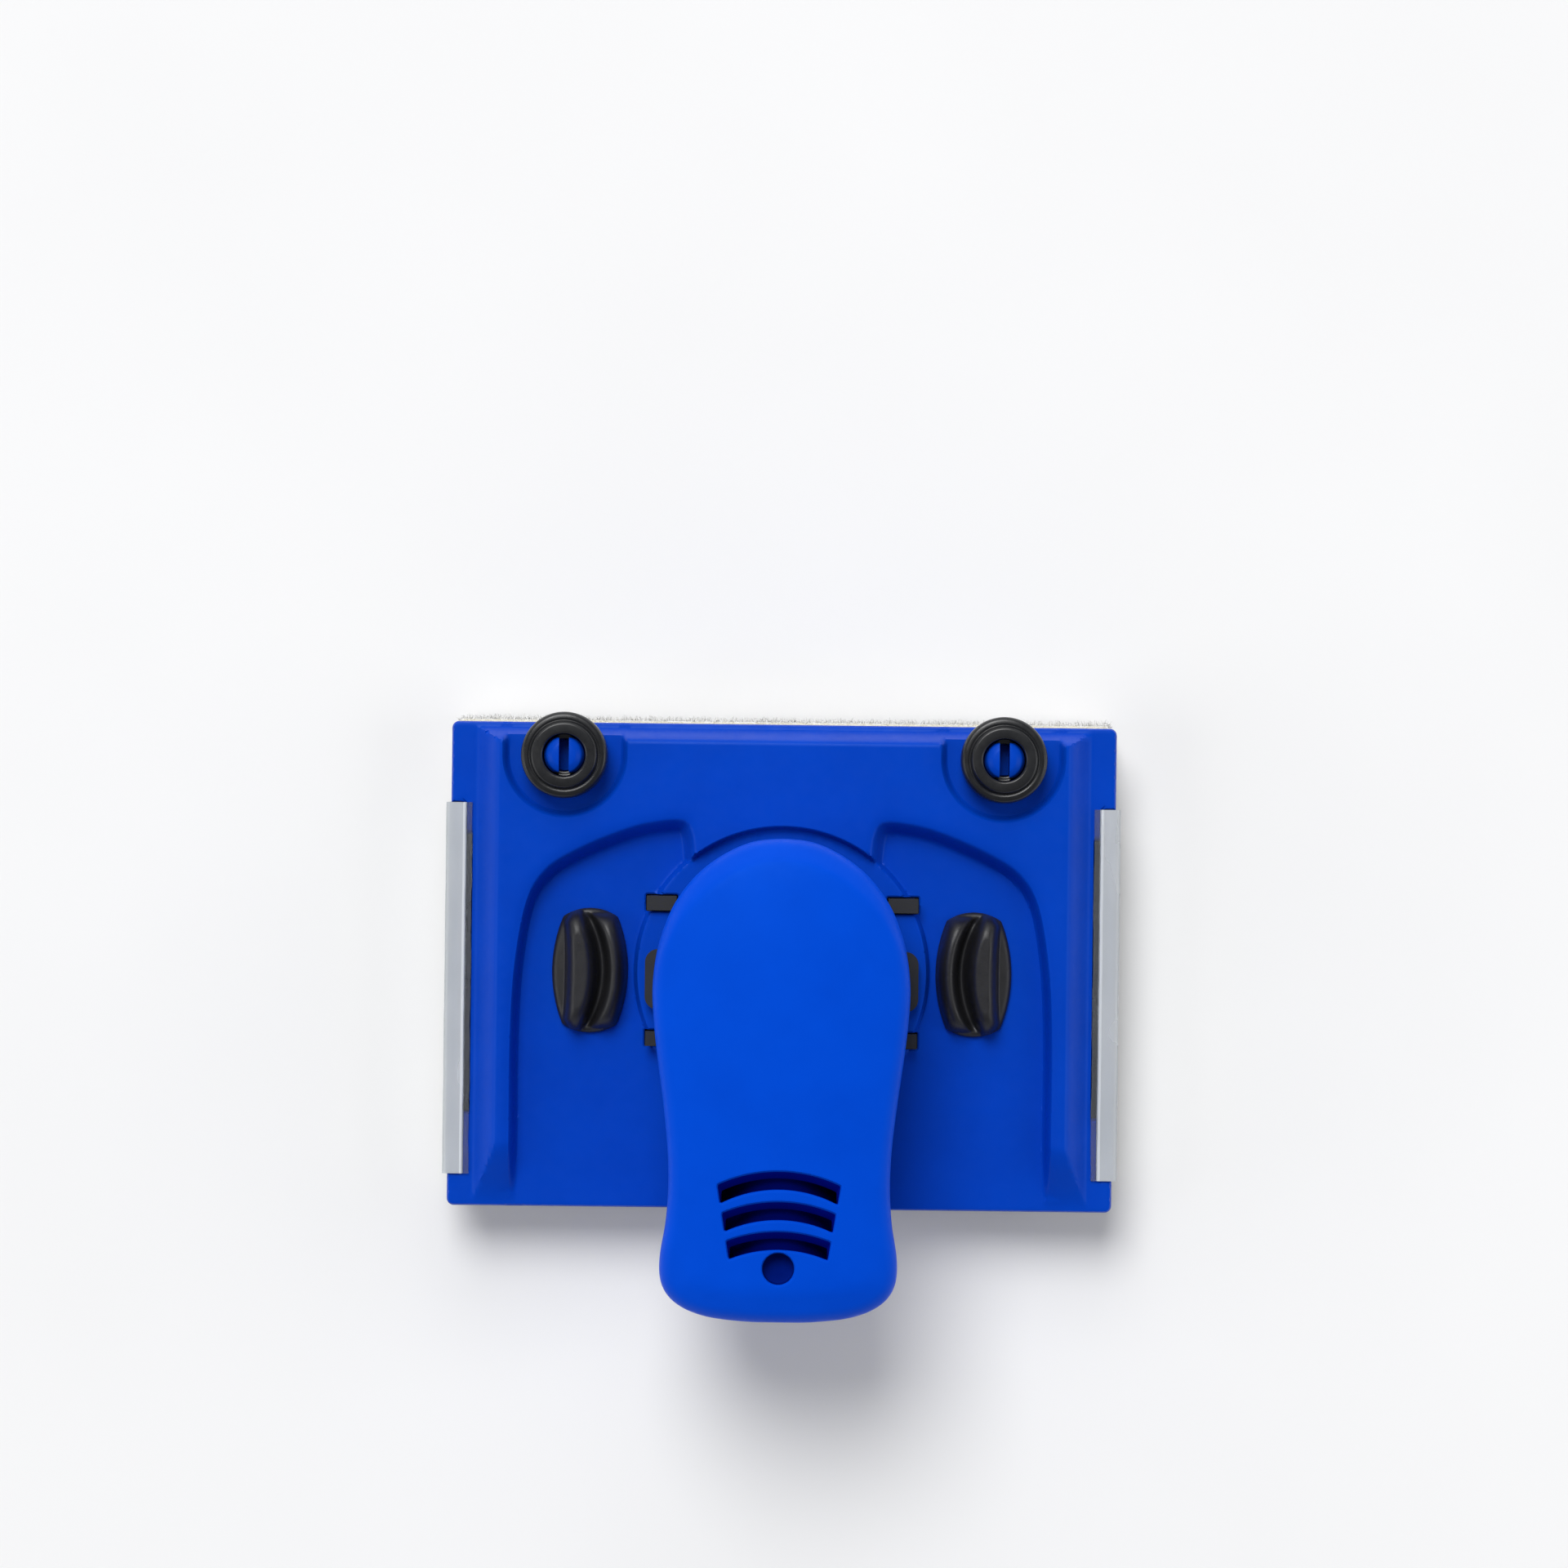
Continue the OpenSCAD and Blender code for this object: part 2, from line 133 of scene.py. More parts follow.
def triangulate(outer, holes, free):
    """Triangles over a domain with holes. Returns points, triangles and the index range of each loop."""
    loops = [outer] + list(holes)
    pts, edges, ranges = [], [], []
    for lp in loops:
        s = len(pts)
        pts += [Vector((float(x), float(y))) for x, y in lp]
        n = len(lp)
        edges += [(s + i, s + (i + 1) % n) for i in range(n)]
        ranges.append((s, n))
    pts += [Vector((float(x), float(y))) for x, y in free]
    v, e, f, ov, oe, of = delaunay_2d_cdt(pts, edges, [], 0, 1e-7)
    back = {}
    for j, lst in enumerate(ov):
        for i in lst:
            back[i] = j
    V = np.array([[q.x, q.y] for q in v])
    T = np.array([list(t) for t in f if len(t) == 3])
    C = V[T].mean(1)
    keep = signed_dist(C, outer) > 0
    for h in holes:
        keep &= signed_dist(C, h) < 0
    T = T[keep]
    A = V[T]
    area = (A[:, 1, 0] - A[:, 0, 0]) * (A[:, 2, 1] - A[:, 0, 1]) - (A[:, 2, 0] - A[:, 0, 0]) * (A[:, 1, 1] - A[:, 0, 1])
    T = np.where((area < 0)[:, None], T[:, ::-1], T)
    idx = [[back[s + i] for i in range(n)] for s, n in ranges]
    return V, T, idx


class Mesh:
    """Collects vertices in millimetres and faces."""

    def __init__(self):
        self.v, self.f, self.mat = [], [], []

    def add(self, pts):
        s = len(self.v)
        self.v += [tuple(map(float, p)) for p in pts]
        return s

    def face(self, f, m=0):
        self.f.append(tuple(int(i) for i in f))
        self.mat.append(m)

    def surface(self, V, z, T, up=True, m=0):
        s = self.add(np.c_[V, z])
        for t in T:
            self.face((t + s) if up else (t[::-1] + s), m)
        return s

    def strip(self, a, b, m=0):
        """Quads between two equal closed rings of indices."""
        n = len(a)
        for i in range(n):
            j = (i + 1) % n
            self.face((a[i], a[j], b[j], b[i]), m)

    def obj(self, name, smooth=40, merge=0.0005):
        me = bpy.data.meshes.new(name)
        me.from_pydata([(x * MM, y * MM, z * MM) for x, y, z in self.v], [], self.f)
        me.polygons.foreach_set("material_index", self.mat)
        me.update()
        o = bpy.data.objects.new(name, me)
        bpy.context.scene.collection.objects.link(o)
        if merge:
            import bmesh
            bm = bmesh.new()
            bm.from_mesh(me)
            bmesh.ops.remove_doubles(bm, verts=bm.verts, dist=merge * MM)
            bmesh.ops.dissolve_degenerate(bm, dist=1e-8, edges=bm.edges)
            bmesh.ops.recalc_face_normals(bm, faces=bm.faces)
            bm.to_mesh(me)
            bm.free()
        shade(o, smooth)
        return o


def shade(o, angle=40):
    me = o.data
    me.polygons.foreach_set("use_smooth", [True] * len(me.polygons))
    me.update()
    if angle and angle < 180:
        for e in me.edges:
            e.use_edge_sharp = False
        me.set_sharp_from_angle(angle=math.radians(angle))


def lathe(name, profile, n=96, at=(0, 0), axis="Z", smooth=35, closed=True):
    """Turns a closed profile of (radius, height) about an axis through at."""
    m = Mesh()
    rows = []
    for r, h in profile:
        if r < 1e-6:
            rows.append([m.add([(0, 0, h)])])
        else:
            s = m.add([(r * math.cos(2 * math.pi * i / n), r * math.sin(2 * math.pi * i / n), h) for i in range(n)])
            rows.append(list(range(s, s + n)))
    count = len(rows)
    for k in range(count if closed else count - 1):
        a, b = rows[k], rows[(k + 1) % count]
        if len(a) == 1 and len(b) == 1:
            continue
        for i in range(n):
            j = (i + 1) % n
            if len(a) == 1:
                m.face((a[0], b[j], b[i]))
            elif len(b) == 1:
                m.face((a[i], a[j], b[0]))
            else:
                m.face((a[i], a[j], b[j], b[i]))
    o = m.obj(name, smooth)
    if axis == "Y":
        o.data.transform(Matrix.Rotation(math.radians(-90), 4, "X"))
    o.data.transform(Matrix.Translation(Vector((at[0] * MM, at[1] * MM, (at[2] if len(at) > 2 else 0) * MM))))
    return o


def rounded(profile, r, k=4):
    """Rounds the corners of an open (radius, height) profile."""
    out = []
    p = [np.array(q, float) for q in profile]
    for i, q in enumerate(p):
        a, b = p[i - 1], p[(i + 1) % len(p)]
        la, lb = np.linalg.norm(a - q), np.linalg.norm(b - q)
        if i in (0, len(p) - 1) or la < 1e-6 or lb < 1e-6:
            out.append(q)
            continue
        t = min(r, la * 0.45, lb * 0.45)
        s, e = q + (a - q) / la * t, q + (b - q) / lb * t
        for j in range(k + 1):
            u = j / k
            out.append((1 - u) ** 2 * s + 2 * u * (1 - u) * q + u * u * e)
    return [tuple(x) for x in out]


def boolean(o, cutter, op="DIFFERENCE"):
    m = o.modifiers.new("b", "BOOLEAN")
    m.operation, m.object, m.solver = op, cutter, "EXACT"
    dg = bpy.context.evaluated_depsgraph_get()
    me = bpy.data.meshes.new_from_object(o.evaluated_get(dg))
    o.modifiers.clear()
    old = o.data
    o.data = me
    bpy.data.meshes.remove(old)
    bpy.data.objects.remove(cutter)
    return o


def apply_mods(o):
    dg = bpy.context.evaluated_depsgraph_get()
    me = bpy.data.meshes.new_from_object(o.evaluated_get(dg))
    o.modifiers.clear()
    old = o.data
    o.data = me
    bpy.data.meshes.remove(old)
    return o


def box(name, lo, hi, bevel=0.0, seg=3):
    m = Mesh()
    (x0, y0, z0), (x1, y1, z1) = lo, hi
    m.add([(x, y, z) for z in (z0, z1) for y in (y0, y1) for x in (x0, x1)])
    for f in ((0, 2, 3, 1), (4, 5, 7, 6), (0, 1, 5, 4), (2, 6, 7, 3), (0, 4, 6, 2), (1, 3, 7, 5)):
        m.face(f)
    o = m.obj(name, 180)
    if bevel:
        b = o.modifiers.new("b", "BEVEL")
        b.width, b.segments, b.limit_method = bevel * MM, seg, "NONE"
        apply_mods(o)
    shade(o, 40)
    return o


def join(objs, name):
    m = bpy.data.meshes.new(name)
    import bmesh
    bm = bmesh.new()
    for o in objs:
        bm.from_mesh(o.data)
    bm.to_mesh(m)
    bm.free()
    for o in objs:
        bpy.data.objects.remove(o)
    o = bpy.data.objects.new(name, m)
    bpy.context.scene.collection.objects.link(o)
    return o


def done(o, body, mat, slot, *nodes):
    mats = list(mat) if isinstance(mat, (list, tuple)) else [mat]
    index = [min(f.material_index, len(mats) - 1) for f in o.data.polygons]
    o.data.materials.clear()
    for m in mats:
        o.data.materials.append(m)
    o.data.polygons.foreach_set("material_index", index)
    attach(o, body)
    if nodes:
        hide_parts(*nodes)
    return o


# ---------------------------------------------------------------- materials
def new_mat(name):
    m = bpy.data.materials.new(name)
    m.use_nodes = True
    nt = m.node_tree
    nt.nodes.clear()
    out = nt.nodes.new("ShaderNodeOutputMaterial")
    bsdf = nt.nodes.new("ShaderNodeBsdfPrincipled")
    nt.links.new(bsdf.outputs[0], out.inputs["Surface"])
    return m, nt, bsdf


def noise(nt, scale, detail=3.0, rough=0.5, coord=None, stretch=None):
    n = nt.nodes.new("ShaderNodeTexNoise")
    n.inputs["Scale"].default_value = scale
    n.inputs["Detail"].default_value = detail
    n.inputs["Roughness"].default_value = rough
    tc = nt.nodes.new("ShaderNodeTexCoord")
    src = tc.outputs["Object"]
    if stretch:
        mp = nt.nodes.new("ShaderNodeMapping")
        mp.inputs["Scale"].default_value = stretch
        nt.links.new(src, mp.inputs["Vector"])
        src = mp.outputs[0]
    nt.links.new(src, n.inputs["Vector"])
    return n


def ramp(nt, src, stops):
    r = nt.nodes.new("ShaderNodeValToRGB")
    nt.links.new(src, r.inputs["Fac"])
    e = r.color_ramp.elements
    while len(e) < len(stops):
        e.new(0.5)
    for el, (p, c) in zip(e, stops):
        el.position = p
        el.color = c if len(c) == 4 else (*c, 1)
    return r


def maprange(nt, src, a, b, lo=0.0, hi=1.0):
    r = nt.nodes.new("ShaderNodeMapRange")
    nt.links.new(src, r.inputs["Value"])
    r.inputs["From Min"].default_value = lo
    r.inputs["From Max"].default_value = hi
    r.inputs["To Min"].default_value = a
    r.inputs["To Max"].default_value = b
    return r


def bump(nt, src, strength, dist, prev=None):
    b = nt.nodes.new("ShaderNodeBump")
    b.inputs["Strength"].default_value = strength
    b.inputs["Distance"].default_value = dist
    nt.links.new(src, b.inputs["Height"])
    if prev is not None:
        nt.links.new(prev.outputs[0], b.inputs["Normal"])
    return b


def plastic(name, base, dark, rough, grain=0.35, grain_scale=5200, coat=0.0, spec=0.5, blotch=70, grain_d=0.00003, tint=(1, 1, 1)):
    """Moulded plastic: fine spark-erosion grain, slow colour drift and slightly uneven gloss."""
    m, nt, b = new_mat(name)
    slow = noise(nt, blotch, 4, 0.55)
    col = ramp(nt, slow.outputs["Fac"], [(0.3, dark), (0.7, base)])
    nt.links.new(col.outputs[0], b.inputs["Base Color"])
    mid = noise(nt, 420, 3, 0.6)
    rg = maprange(nt, mid.outputs["Fac"], rough - 0.05, rough + 0.06, 0.3, 0.7)
    nt.links.new(rg.outputs[0], b.inputs["Roughness"])
    fine = noise(nt, grain_scale, 2, 0.5)
    wave = noise(nt, 160, 2, 0.5)
    b1 = bump(nt, fine.outputs["Fac"], grain, grain_d)
    b2 = bump(nt, wave.outputs["Fac"], 0.18, 0.00018, b1)
    nt.links.new(b2.outputs[0], b.inputs["Normal"])
    b.inputs["Specular IOR Level"].default_value = spec
    b.inputs["Specular Tint"].default_value = (*tint, 1)
    b.inputs["Coat Weight"].default_value = coat
    b.inputs["Coat Roughness"].default_value = 0.18
    return m


TINT = (0.12, 0.45, 1.0)
M_BLUE = plastic("blue_plastic", (0.0002, 0.069, 0.66), (0.0001, 0.062, 0.61), 0.44, grain=0.22, spec=0.12, tint=TINT)
# painted shade: a much darker copy of the handle's blue, used on the dimple's wall and floor so the recess reads dark
M_BLUE_DIMPLE_PAINTED_SHADE = plastic("blue_dimple_painted_shade", (0.0002, 0.011, 0.215), (0.0001, 0.008, 0.17), 0.55, grain=0.2, spec=0.06, tint=TINT)
# painted shade: a dark navy copy of the handle's blue, used on the deep walls of the three slots
M_BLUE_SLOT_PAINTED_SHADE = plastic("blue_slot_wall_painted_shade", (0.0002, 0.0052, 0.270), (0.0001, 0.0040, 0.220), 0.6, grain=0.2, spec=0.04, tint=TINT)
# painted shade: the plate's blue is a darker copy of the handle's blue, standing for the lower light on the plate
M_BLUE_PLATE_PAINTED_SHADE = plastic("blue_plate_painted_shade", (0.0003, 0.056, 0.53), (0.0002, 0.050, 0.485), 0.34, grain=0.2, spec=0.18, tint=(0.35, 0.6, 1.0))
# painted shade: the socket is a dark navy copy of the handle's blue, so it reads dark through the slots
M_SOCKET_PAINTED_SHADE = plastic("socket_blue_painted_shade", (0.0003, 0.0026, 0.150), (0.0002, 0.0018, 0.120), 0.62, grain=0.3, spec=0.05, tint=TINT)
M_BLACK = plastic("black_plastic", (0.011, 0.012, 0.015), (0.007, 0.008, 0.010), 0.48, grain=0.4)
M_WHEEL = plastic("wheel_plastic", (0.009, 0.010, 0.012), (0.006, 0.0065, 0.008), 0.30, grain=0.15)
M_RUBBER = plastic("soft_rubber", (0.014, 0.014, 0.016), (0.009, 0.009, 0.011), 0.42, grain=0.5, grain_scale=3600)
M_BACK = plastic("white_plastic", (0.80, 0.80, 0.78), (0.74, 0.74, 0.72), 0.45)
M_POM = plastic("bearing_plastic", (0.78, 0.78, 0.74), (0.70, 0.70, 0.66), 0.4)


def steel(name):
    m, nt, b = new_mat(name)
    n = noise(nt, 900, 3, 0.6, stretch=(1, 1, 6))
    col = ramp(nt, n.outputs["Fac"], [(0.3, (0.48, 0.49, 0.52)), (0.7, (0.66, 0.67, 0.69))])
    nt.links.new(col.outputs[0], b.inputs["Base Color"])
    b.inputs["Metallic"].default_value = 1.0
    rg = maprange(nt, n.outputs["Fac"], 0.22, 0.38)
    nt.links.new(rg.outputs[0], b.inputs["Roughness"])
    bb = bump(nt, n.outputs["Fac"], 0.15, 0.00003)
    nt.links.new(bb.outputs[0], b.inputs["Normal"])
    return m


M_STEEL = steel("plated_steel")


def film(name="guard_film", clear=0.45, lo=(0.70, 0.74, 0.78), hi=(0.84, 0.87, 0.90)):
    m, nt, b = new_mat(name)
    n = noise(nt, 70, 3, 0.5, stretch=(1.5, 0.4, 1.5))
    col = ramp(nt, n.outputs["Fac"], [(0.25, lo), (0.75, hi)])
    nt.links.new(col.outputs[0], b.inputs["Base Color"])
    rg = maprange(nt, n.outputs["Fac"], 0.20, 0.34)
    nt.links.new(rg.outputs[0], b.inputs["Roughness"])
    b.inputs["Transmission Weight"].default_value = clear
    b.inputs["IOR"].default_value = 1.42
    w = noise(nt, 60, 1, 0.4, stretch=(1, 0.4, 1))
    bb = bump(nt, w.outputs["Fac"], 0.2, 0.0002)
    nt.links.new(bb.outputs[0], b.inputs["Normal"])
    return m


def flock(name, light, shade_c):
    m, nt, b = new_mat(name)
    n = noise(nt, 1400, 4, 0.7)
    big = noise(nt, 120, 3, 0.5)
    mix = nt.nodes.new("ShaderNodeMix")
    mix.data_type = "FLOAT"
    mix.inputs[0].default_value = 0.35
    nt.links.new(n.outputs["Fac"], mix.inputs[2])
    nt.links.new(big.outputs["Fac"], mix.inputs[3])
    col = ramp(nt, mix.outputs[0], [(0.3, shade_c), (0.62, light)])
    nt.links.new(col.outputs[0], b.inputs["Base Color"])
    b.inputs["Roughness"].default_value = 0.95
    b.inputs["Sheen Weight"].default_value = 0.6
    b.inputs["Sheen Roughness"].default_value = 0.5
    b.inputs["Specular IOR Level"].default_value = 0.2
    bb = bump(nt, n.outputs["Fac"], 0.8, 0.0004)
    nt.links.new(bb.outputs[0], b.inputs["Normal"])
    return m


def foam():
    m, nt, b = new_mat("open_cell_foam")
    v = nt.nodes.new("ShaderNodeTexVoronoi")
    v.inputs["Scale"].default_value = 2100
    tc = nt.nodes.new("ShaderNodeTexCoord")
    nt.links.new(tc.outputs["Object"], v.inputs["Vector"])
    n = noise(nt, 300, 3, 0.6)
    col = ramp(nt, v.outputs["Distance"], [(0.0, (0.60, 0.56, 0.44)), (0.28, (0.78, 0.74, 0.61)), (0.8, (0.86, 0.83, 0.71))])
    nt.links.new(col.outputs[0], b.inputs["Base Color"])
    b.inputs["Roughness"].default_value = 0.92
    b.inputs["Specular IOR Level"].default_value = 0.15
    b1 = bump(nt, v.outputs["Distance"], 0.9, 0.0005)
    b2 = bump(nt, n.outputs["Fac"], 0.4, 0.0006, b1)
    nt.links.new(b2.outputs[0], b.inputs["Normal"])
    return m


M_FILM = film()
M_LIP = film("guard_lip", 0.95)
M_BEAD = film("guard_bead", 0.25, (0.74, 0.78, 0.82), (0.86, 0.89, 0.92))
M_FLOCK = flock("flock_pile", (0.95, 0.95, 0.94), (0.78, 0.78, 0.77))
M_FOAM = foam()

# ------------------------------------------------------------------- handle
PX, PY = 0.0, -1.0
CROWN, SPLIT, UNDER = 51.5, 33.0, 25.2
SOCK_Z, SOCK_Y0, SOCK_L = 35.5, -62.2, 30.0
BOOT = [[0, 24.8], [5.5, 24.2], [11, 21.8], [16, 18], [19.8, 13], [22, 8], [23.3, 3], [23.9, -3], [23.6, -9],
        [22.8, -16], [21.7, -24], [20.8, -32], [20.5, -39], [20.9, -46], [22, -53], [21.6, -58],
        [19, -61.4], [14, -63.6], [7, -64.5], [0, -64.7]]


def boot_loop(inset, step):
    h = smooth_line(BOOT, 12)
    loop = np.vstack([h, [(-x, y) for x, y in h[-2:0:-1]]])
    loop = ccw(resample(ccw(loop), 0.5))
    for _ in range(6):  # even out the joints of the curve
        loop = 0.5 * loop + 0.25 * (np.roll(loop, 1, 0) + np.roll(loop, -1, 0))
    loop = loop - loop_normals(loop) * inset
    return ccw(resample(loop, step))


def fillet(d, r):
    d = np.clip(d, 0, r)
    return r - np.sqrt(np.maximum(r * r - (r - d) ** 2, 0))


CROWN_LINE = smooth_line([[-66, -2.4], [-61, -1.2], [-56, -0.5], [-44, -0.05], [-24, 0], [-8, -0.35], [4, -0.9], [12, -1.7], [18, -2.6], [22, -3.6], [26, -4.8]], 8)


def handle_z(P, d):
    """Height of the handle's face over the front plane. d is the distance in from the outline."""
    x, y = P[:, 0], P[:, 1]
    z = CROWN + np.interp(y, CROWN_LINE[:, 0], CROWN_LINE[:, 1]) - 2.3 * (x / 20) ** 2
    w = 3.9 * smoothstep(-5.0, 21.0, y)  # sloping shoulder at the nose
    k = 0.5
    s = 0.5 * ((w - d) + np.sqrt((w - d) ** 2 + k * k))
    z = z - 0.62 * s * smoothstep(-5.0, 9.0, y)
    r = 2.4 - 1.0 * smoothstep(4, 20, y)
    z = z - fillet(np.maximum(d, 0) / r, 1.0) * r
    # gentle roll-off towards the tail
    return z - 0.9 * smoothstep(7.0, 0.0, d) * smoothstep(-48, -60, y)


def slot_loop(yc):
    """Outline of one arched slot with small corner radii."""
    ro, ri = 26.2, 22.8
    pts = []

    def side(r, x_at):
        # angle where the circle of radius r about (0, yc) meets the tapering end line
        a = math.pi / 2
        for _ in range(60):
            x, y = r * math.cos(a), yc + r * math.sin(a)
            lim = 11.9 + (y + 36) * (11.9 - 9.4) / 15
            a -= 0.01 if x < lim else 0.0
            if x >= lim:
                break
            a -= 0.0
        lo, hi = a, a + 0.02
        for _ in range(30):
            mid = (lo + hi) / 2
            x, y = r * math.cos(mid), yc + r * math.sin(mid)
            lim = 11.9 + (y + 36) * (11.9 - 9.4) / 15
            if x >= lim:
                lo = mid
            else:
                hi = mid
        return (lo + hi) / 2

    ao, ai = side(ro, 0), side(ri, 0)
    outer = [(ro * math.cos(a), yc + ro * math.sin(a)) for a in np.linspace(ao, math.pi - ao, 60)]
    inner = [(ri * math.cos(a), yc + ri * math.sin(a)) for a in np.linspace(math.pi - ai, ai, 56)]
    loop = np.array(outer + inner)
    # round the four corners
    loop = ccw(loop)
    fine = resample(loop, 0.12)
    for _ in range(5):
        fine = 0.5 * fine + 0.25 * (np.roll(fine, 1, 0) + np.roll(fine, -1, 0))
    return ccw(resample(fine, 0.42))


def slot_floor(loop, yc):
    """The slot's outline at the inner face: its wall on the nose side slopes."""
    x, y = loop[:, 0], loop[:, 1] - yc
    r = np.hypot(x, y)
    t = np.clip((r - 22.8) / 3.4, 0, 1)
    k = 1 - 1.45 * t / r
    return np.c_[x * k * 0.985, y * k + yc]


def circle(cx, cy, r, n):
    a = np.linspace(0, 2 * math.pi, n, endpoint=False)
    return np.c_[cx + r * np.cos(a), cy + r * np.sin(a)]


def hexgrid(x0, x1, y0, y1, step):
    pts, row, y = [], 0, y0
    while y <= y1:
        x = x0 + (step / 2 if row % 2 else 0)
        while x <= x1:
            pts.append((x, y))
            x += step
        y += step * 0.866
        row += 1
    return np.array(pts)


def rings(loop, offsets):
    n = loop_normals(loop)
    return np.vstack([loop - n * o for o in offsets])


def make_top_shell():
    outer = boot_loop(0.0, 0.75)
    inner = ccw(resample(outer - loop_normals(outer) * 2.4, 0.75))
    slots = [slot_loop(y) for y in (-62.5, -68.1, -73.6)]
    floors = [slot_floor(s, y) for s, y in zip(slots, (-62.5, -68.1, -73.6))]
    dimple = circle(0, -54.3, 2.95, 56)
    holes = slots + [dimple]
    free = [rings(outer, [0.08, 0.22, 0.45, 0.75, 1.1, 1.5, 1.95, 2.45, 3.0, 3.5, 4.0, 4.5, 5.2, 6.2])]
    for h in holes:
        free.append(rings(h, [-0.1, -0.22, -0.38, -0.6, -1.0]))
    free.append(hexgrid(-24, 24, -65, 25, 1.25))
    free = np.vstack(free)
    d = signed_dist(free, outer)
    keep = d > 0.05
    for h in holes:
        keep &= signed_dist(free, h) < -0.06
    free = thin(free[keep], np.vstack([outer] + holes), 0.13)
    V, T, idx = triangulate(outer, holes, free)
    d = np.maximum(signed_dist(V, outer), 0)
    z = handle_z(V, d)
    # soft lip where the face turns into each opening
    for h in holes:
        dh = -signed_dist(V, h)
        z -= fillet(np.maximum(dh, 0) / 0.38, 1.0) * 0.38
    z[idx[0]] = handle_z(V[idx[0]], np.zeros(len(idx[0])))
    m = Mesh()
    top = m.surface(V, z, T)
    # inner face
    free_in = np.vstack([hexgrid(-24, 24, -65, 25, 3.0)] + [circle(0, -54.3, r, 40) for r in (2.6, 3.3, 3.6, 3.9, 4.3)])
    keep = signed_dist(free_in, inner) > 0.6
    for h in floors:
        keep &= signed_dist(free_in, h) < -0.3
    free_in = thin(free_in[keep], np.vstack([inner] + floors), 0.2)
    V2, T2, idx2 = triangulate(inner, floors, free_in)
    z2 = handle_z(V2, np.maximum(signed_dist(V2, outer), 0)) - 2.4
    rd = np.hypot(V2[:, 0], V2[:, 1] + 54.3)
    low = float(z[idx[4]].min()) - 3.2
    z2 = np.where(rd < 4.0, np.minimum(z2, low + (z2 - low) * smoothstep(3.3, 3.9, rd)), z2)
    s2 = m.surface(V2, z2, T2, up=False)
    for a, b in zip(idx[1:4], idx2[1:4]):
        # a short lip in the face's colour, then the deep wall in the darker blue of painted shade
        A, B = [top + i for i in a], [s2 + i for i in b]
        pa, pb = np.array([m.v[i] for i in A]), np.array([m.v[i] for i in B])
        q = m.add(pa * 0.94 + pb * 0.06)
        Q = list(range(q, q + len(A)))
        m.strip(A, Q)
        m.strip(Q, B, 2)
    # dimple: wall and slightly dished floor, both in the darker blue of painted shade
    ring = [top + i for i in idx[4]]
    zc = float(z[idx[4]].min())
    prev = ring
    for rr, dz in ((2.95, -0.25), (2.93, -1.2), (2.90, -2.4), (2.80, -2.62), (2.55, -2.70), (1.4, -2.68), (0.5, -2.66)):
        a = np.linspace(0, 2 * math.pi, 56, endpoint=False)
        s = m.add(np.c_[rr * np.cos(a), -54.3 + rr * np.sin(a), np.full(56, zc + dz)])
        cur = list(range(s, s + 56))
        m.strip(prev, cur, 1)
        prev = cur
    c = m.add([(0, -54.3, zc - 2.66)])
    for i in range(56):
        m.face((prev[i], prev[(i + 1) % 56], c), 1)
    # outer wall with a fine shadow groove at the joint line
    n0 = len(outer)
    prev = [top + i for i in idx[0]]
    norm = loop_normals(V[idx[0]])
    for off, zz in ((0.0, 40.0), (0.0, 36.0), (0.0, SPLIT + 0.75), (0.06, SPLIT + 0.45), (0.25, SPLIT + 0.2), (0.6, SPLIT + 0.15)):
        s = m.add(np.c_[V[idx[0]] - norm * off, np.full(n0, zz)])
        cur = list(range(s, s + n0))
        m.strip(prev, cur)
        prev = cur
    s = m.add(np.c_[V2[idx2[0]], np.full(len(idx2[0]), SPLIT + 0.15)])
    rim = list(range(s, s + len(idx2[0])))
    bridge(m, prev, rim)
    m.strip(rim, [s2 + i for i in idx2[0]])
    o = m.obj("handle_top", 32)
    for mm in (M_BLUE, M_BLUE_DIMPLE_PAINTED_SHADE, M_BLUE_SLOT_PAINTED_SHADE):
        o.data.materials.append(mm)
    # round mouth for the pole
    cut = lathe("cut", [(0, -70), (11.6, -70), (11.6, -64.9), (10.9, -64.3), (10.4, -63.6), (10.4, SOCK_Y0 - 0.1), (11.9, SOCK_Y0 - 0.1), (11.9, -29.4), (0, -29.4)], 128, (0, 0, 0), smooth=180)
    cut.data.transform(Matrix.Rotation(math.radians(-90), 4, "X"))
    cut.data.transform(Matrix.Translation(Vector((0, 0, SOCK_Z * MM))))
    boolean(o, cut)
    shade(o, 32)
    return o


def bridge(m, a, b):
    """Joins two closed rings with different counts by nearest progress around the loop."""
    A = np.array([m.v[i] for i in a])
    B = np.array([m.v[i] for i in b])
    k = int(np.argmin(np.linalg.norm(B - A[0], axis=1)))
    b = b[k:] + b[:k]
    na, nb = len(a), len(b)
    i = j = 0
    while i < na or j < nb:
        if j >= nb or (i < na and (i + 1) / na <= (j + 1) / nb):
            m.face((a[i % na], a[(i + 1) % na], b[j % nb]))
            i += 1
        else:
            m.face((a[i % na], b[(j + 1) % nb], b[j % nb]))
            j += 1


top_shell = done(make_top_shell(), "handle", [M_BLUE, M_BLUE_DIMPLE_PAINTED_SHADE, M_BLUE_SLOT_PAINTED_SHADE], "blue_plastic", "handle_top_shell")


# ------------------------------------------------------------------- shield
FL0, FL1, RIM, DISC, POST = 12.5, 14.5, 19.5, 17.0, 17.5
Y_TOP, Y_BOT = 46.3, -46.2
WELL = [[51.3, -30], [51.3, -14], [50.6, 0], [48.5, 12], [45, 18], [39.4, 21.7], [32, 25], [26, 26.9], [19.5, 27.6], [17.6, 25.4], [17, 20.6]]


def well_loop():
    w = smooth_line(WELL, 6)
    loop = np.vstack([[[51.4, -60]], w, [[17, 5]], [[-17, 5]], [[-x, y] for x, y in w[::-1]], [[-51.4, -60]]])
    return ccw(resample(ccw(loop), 0.6))


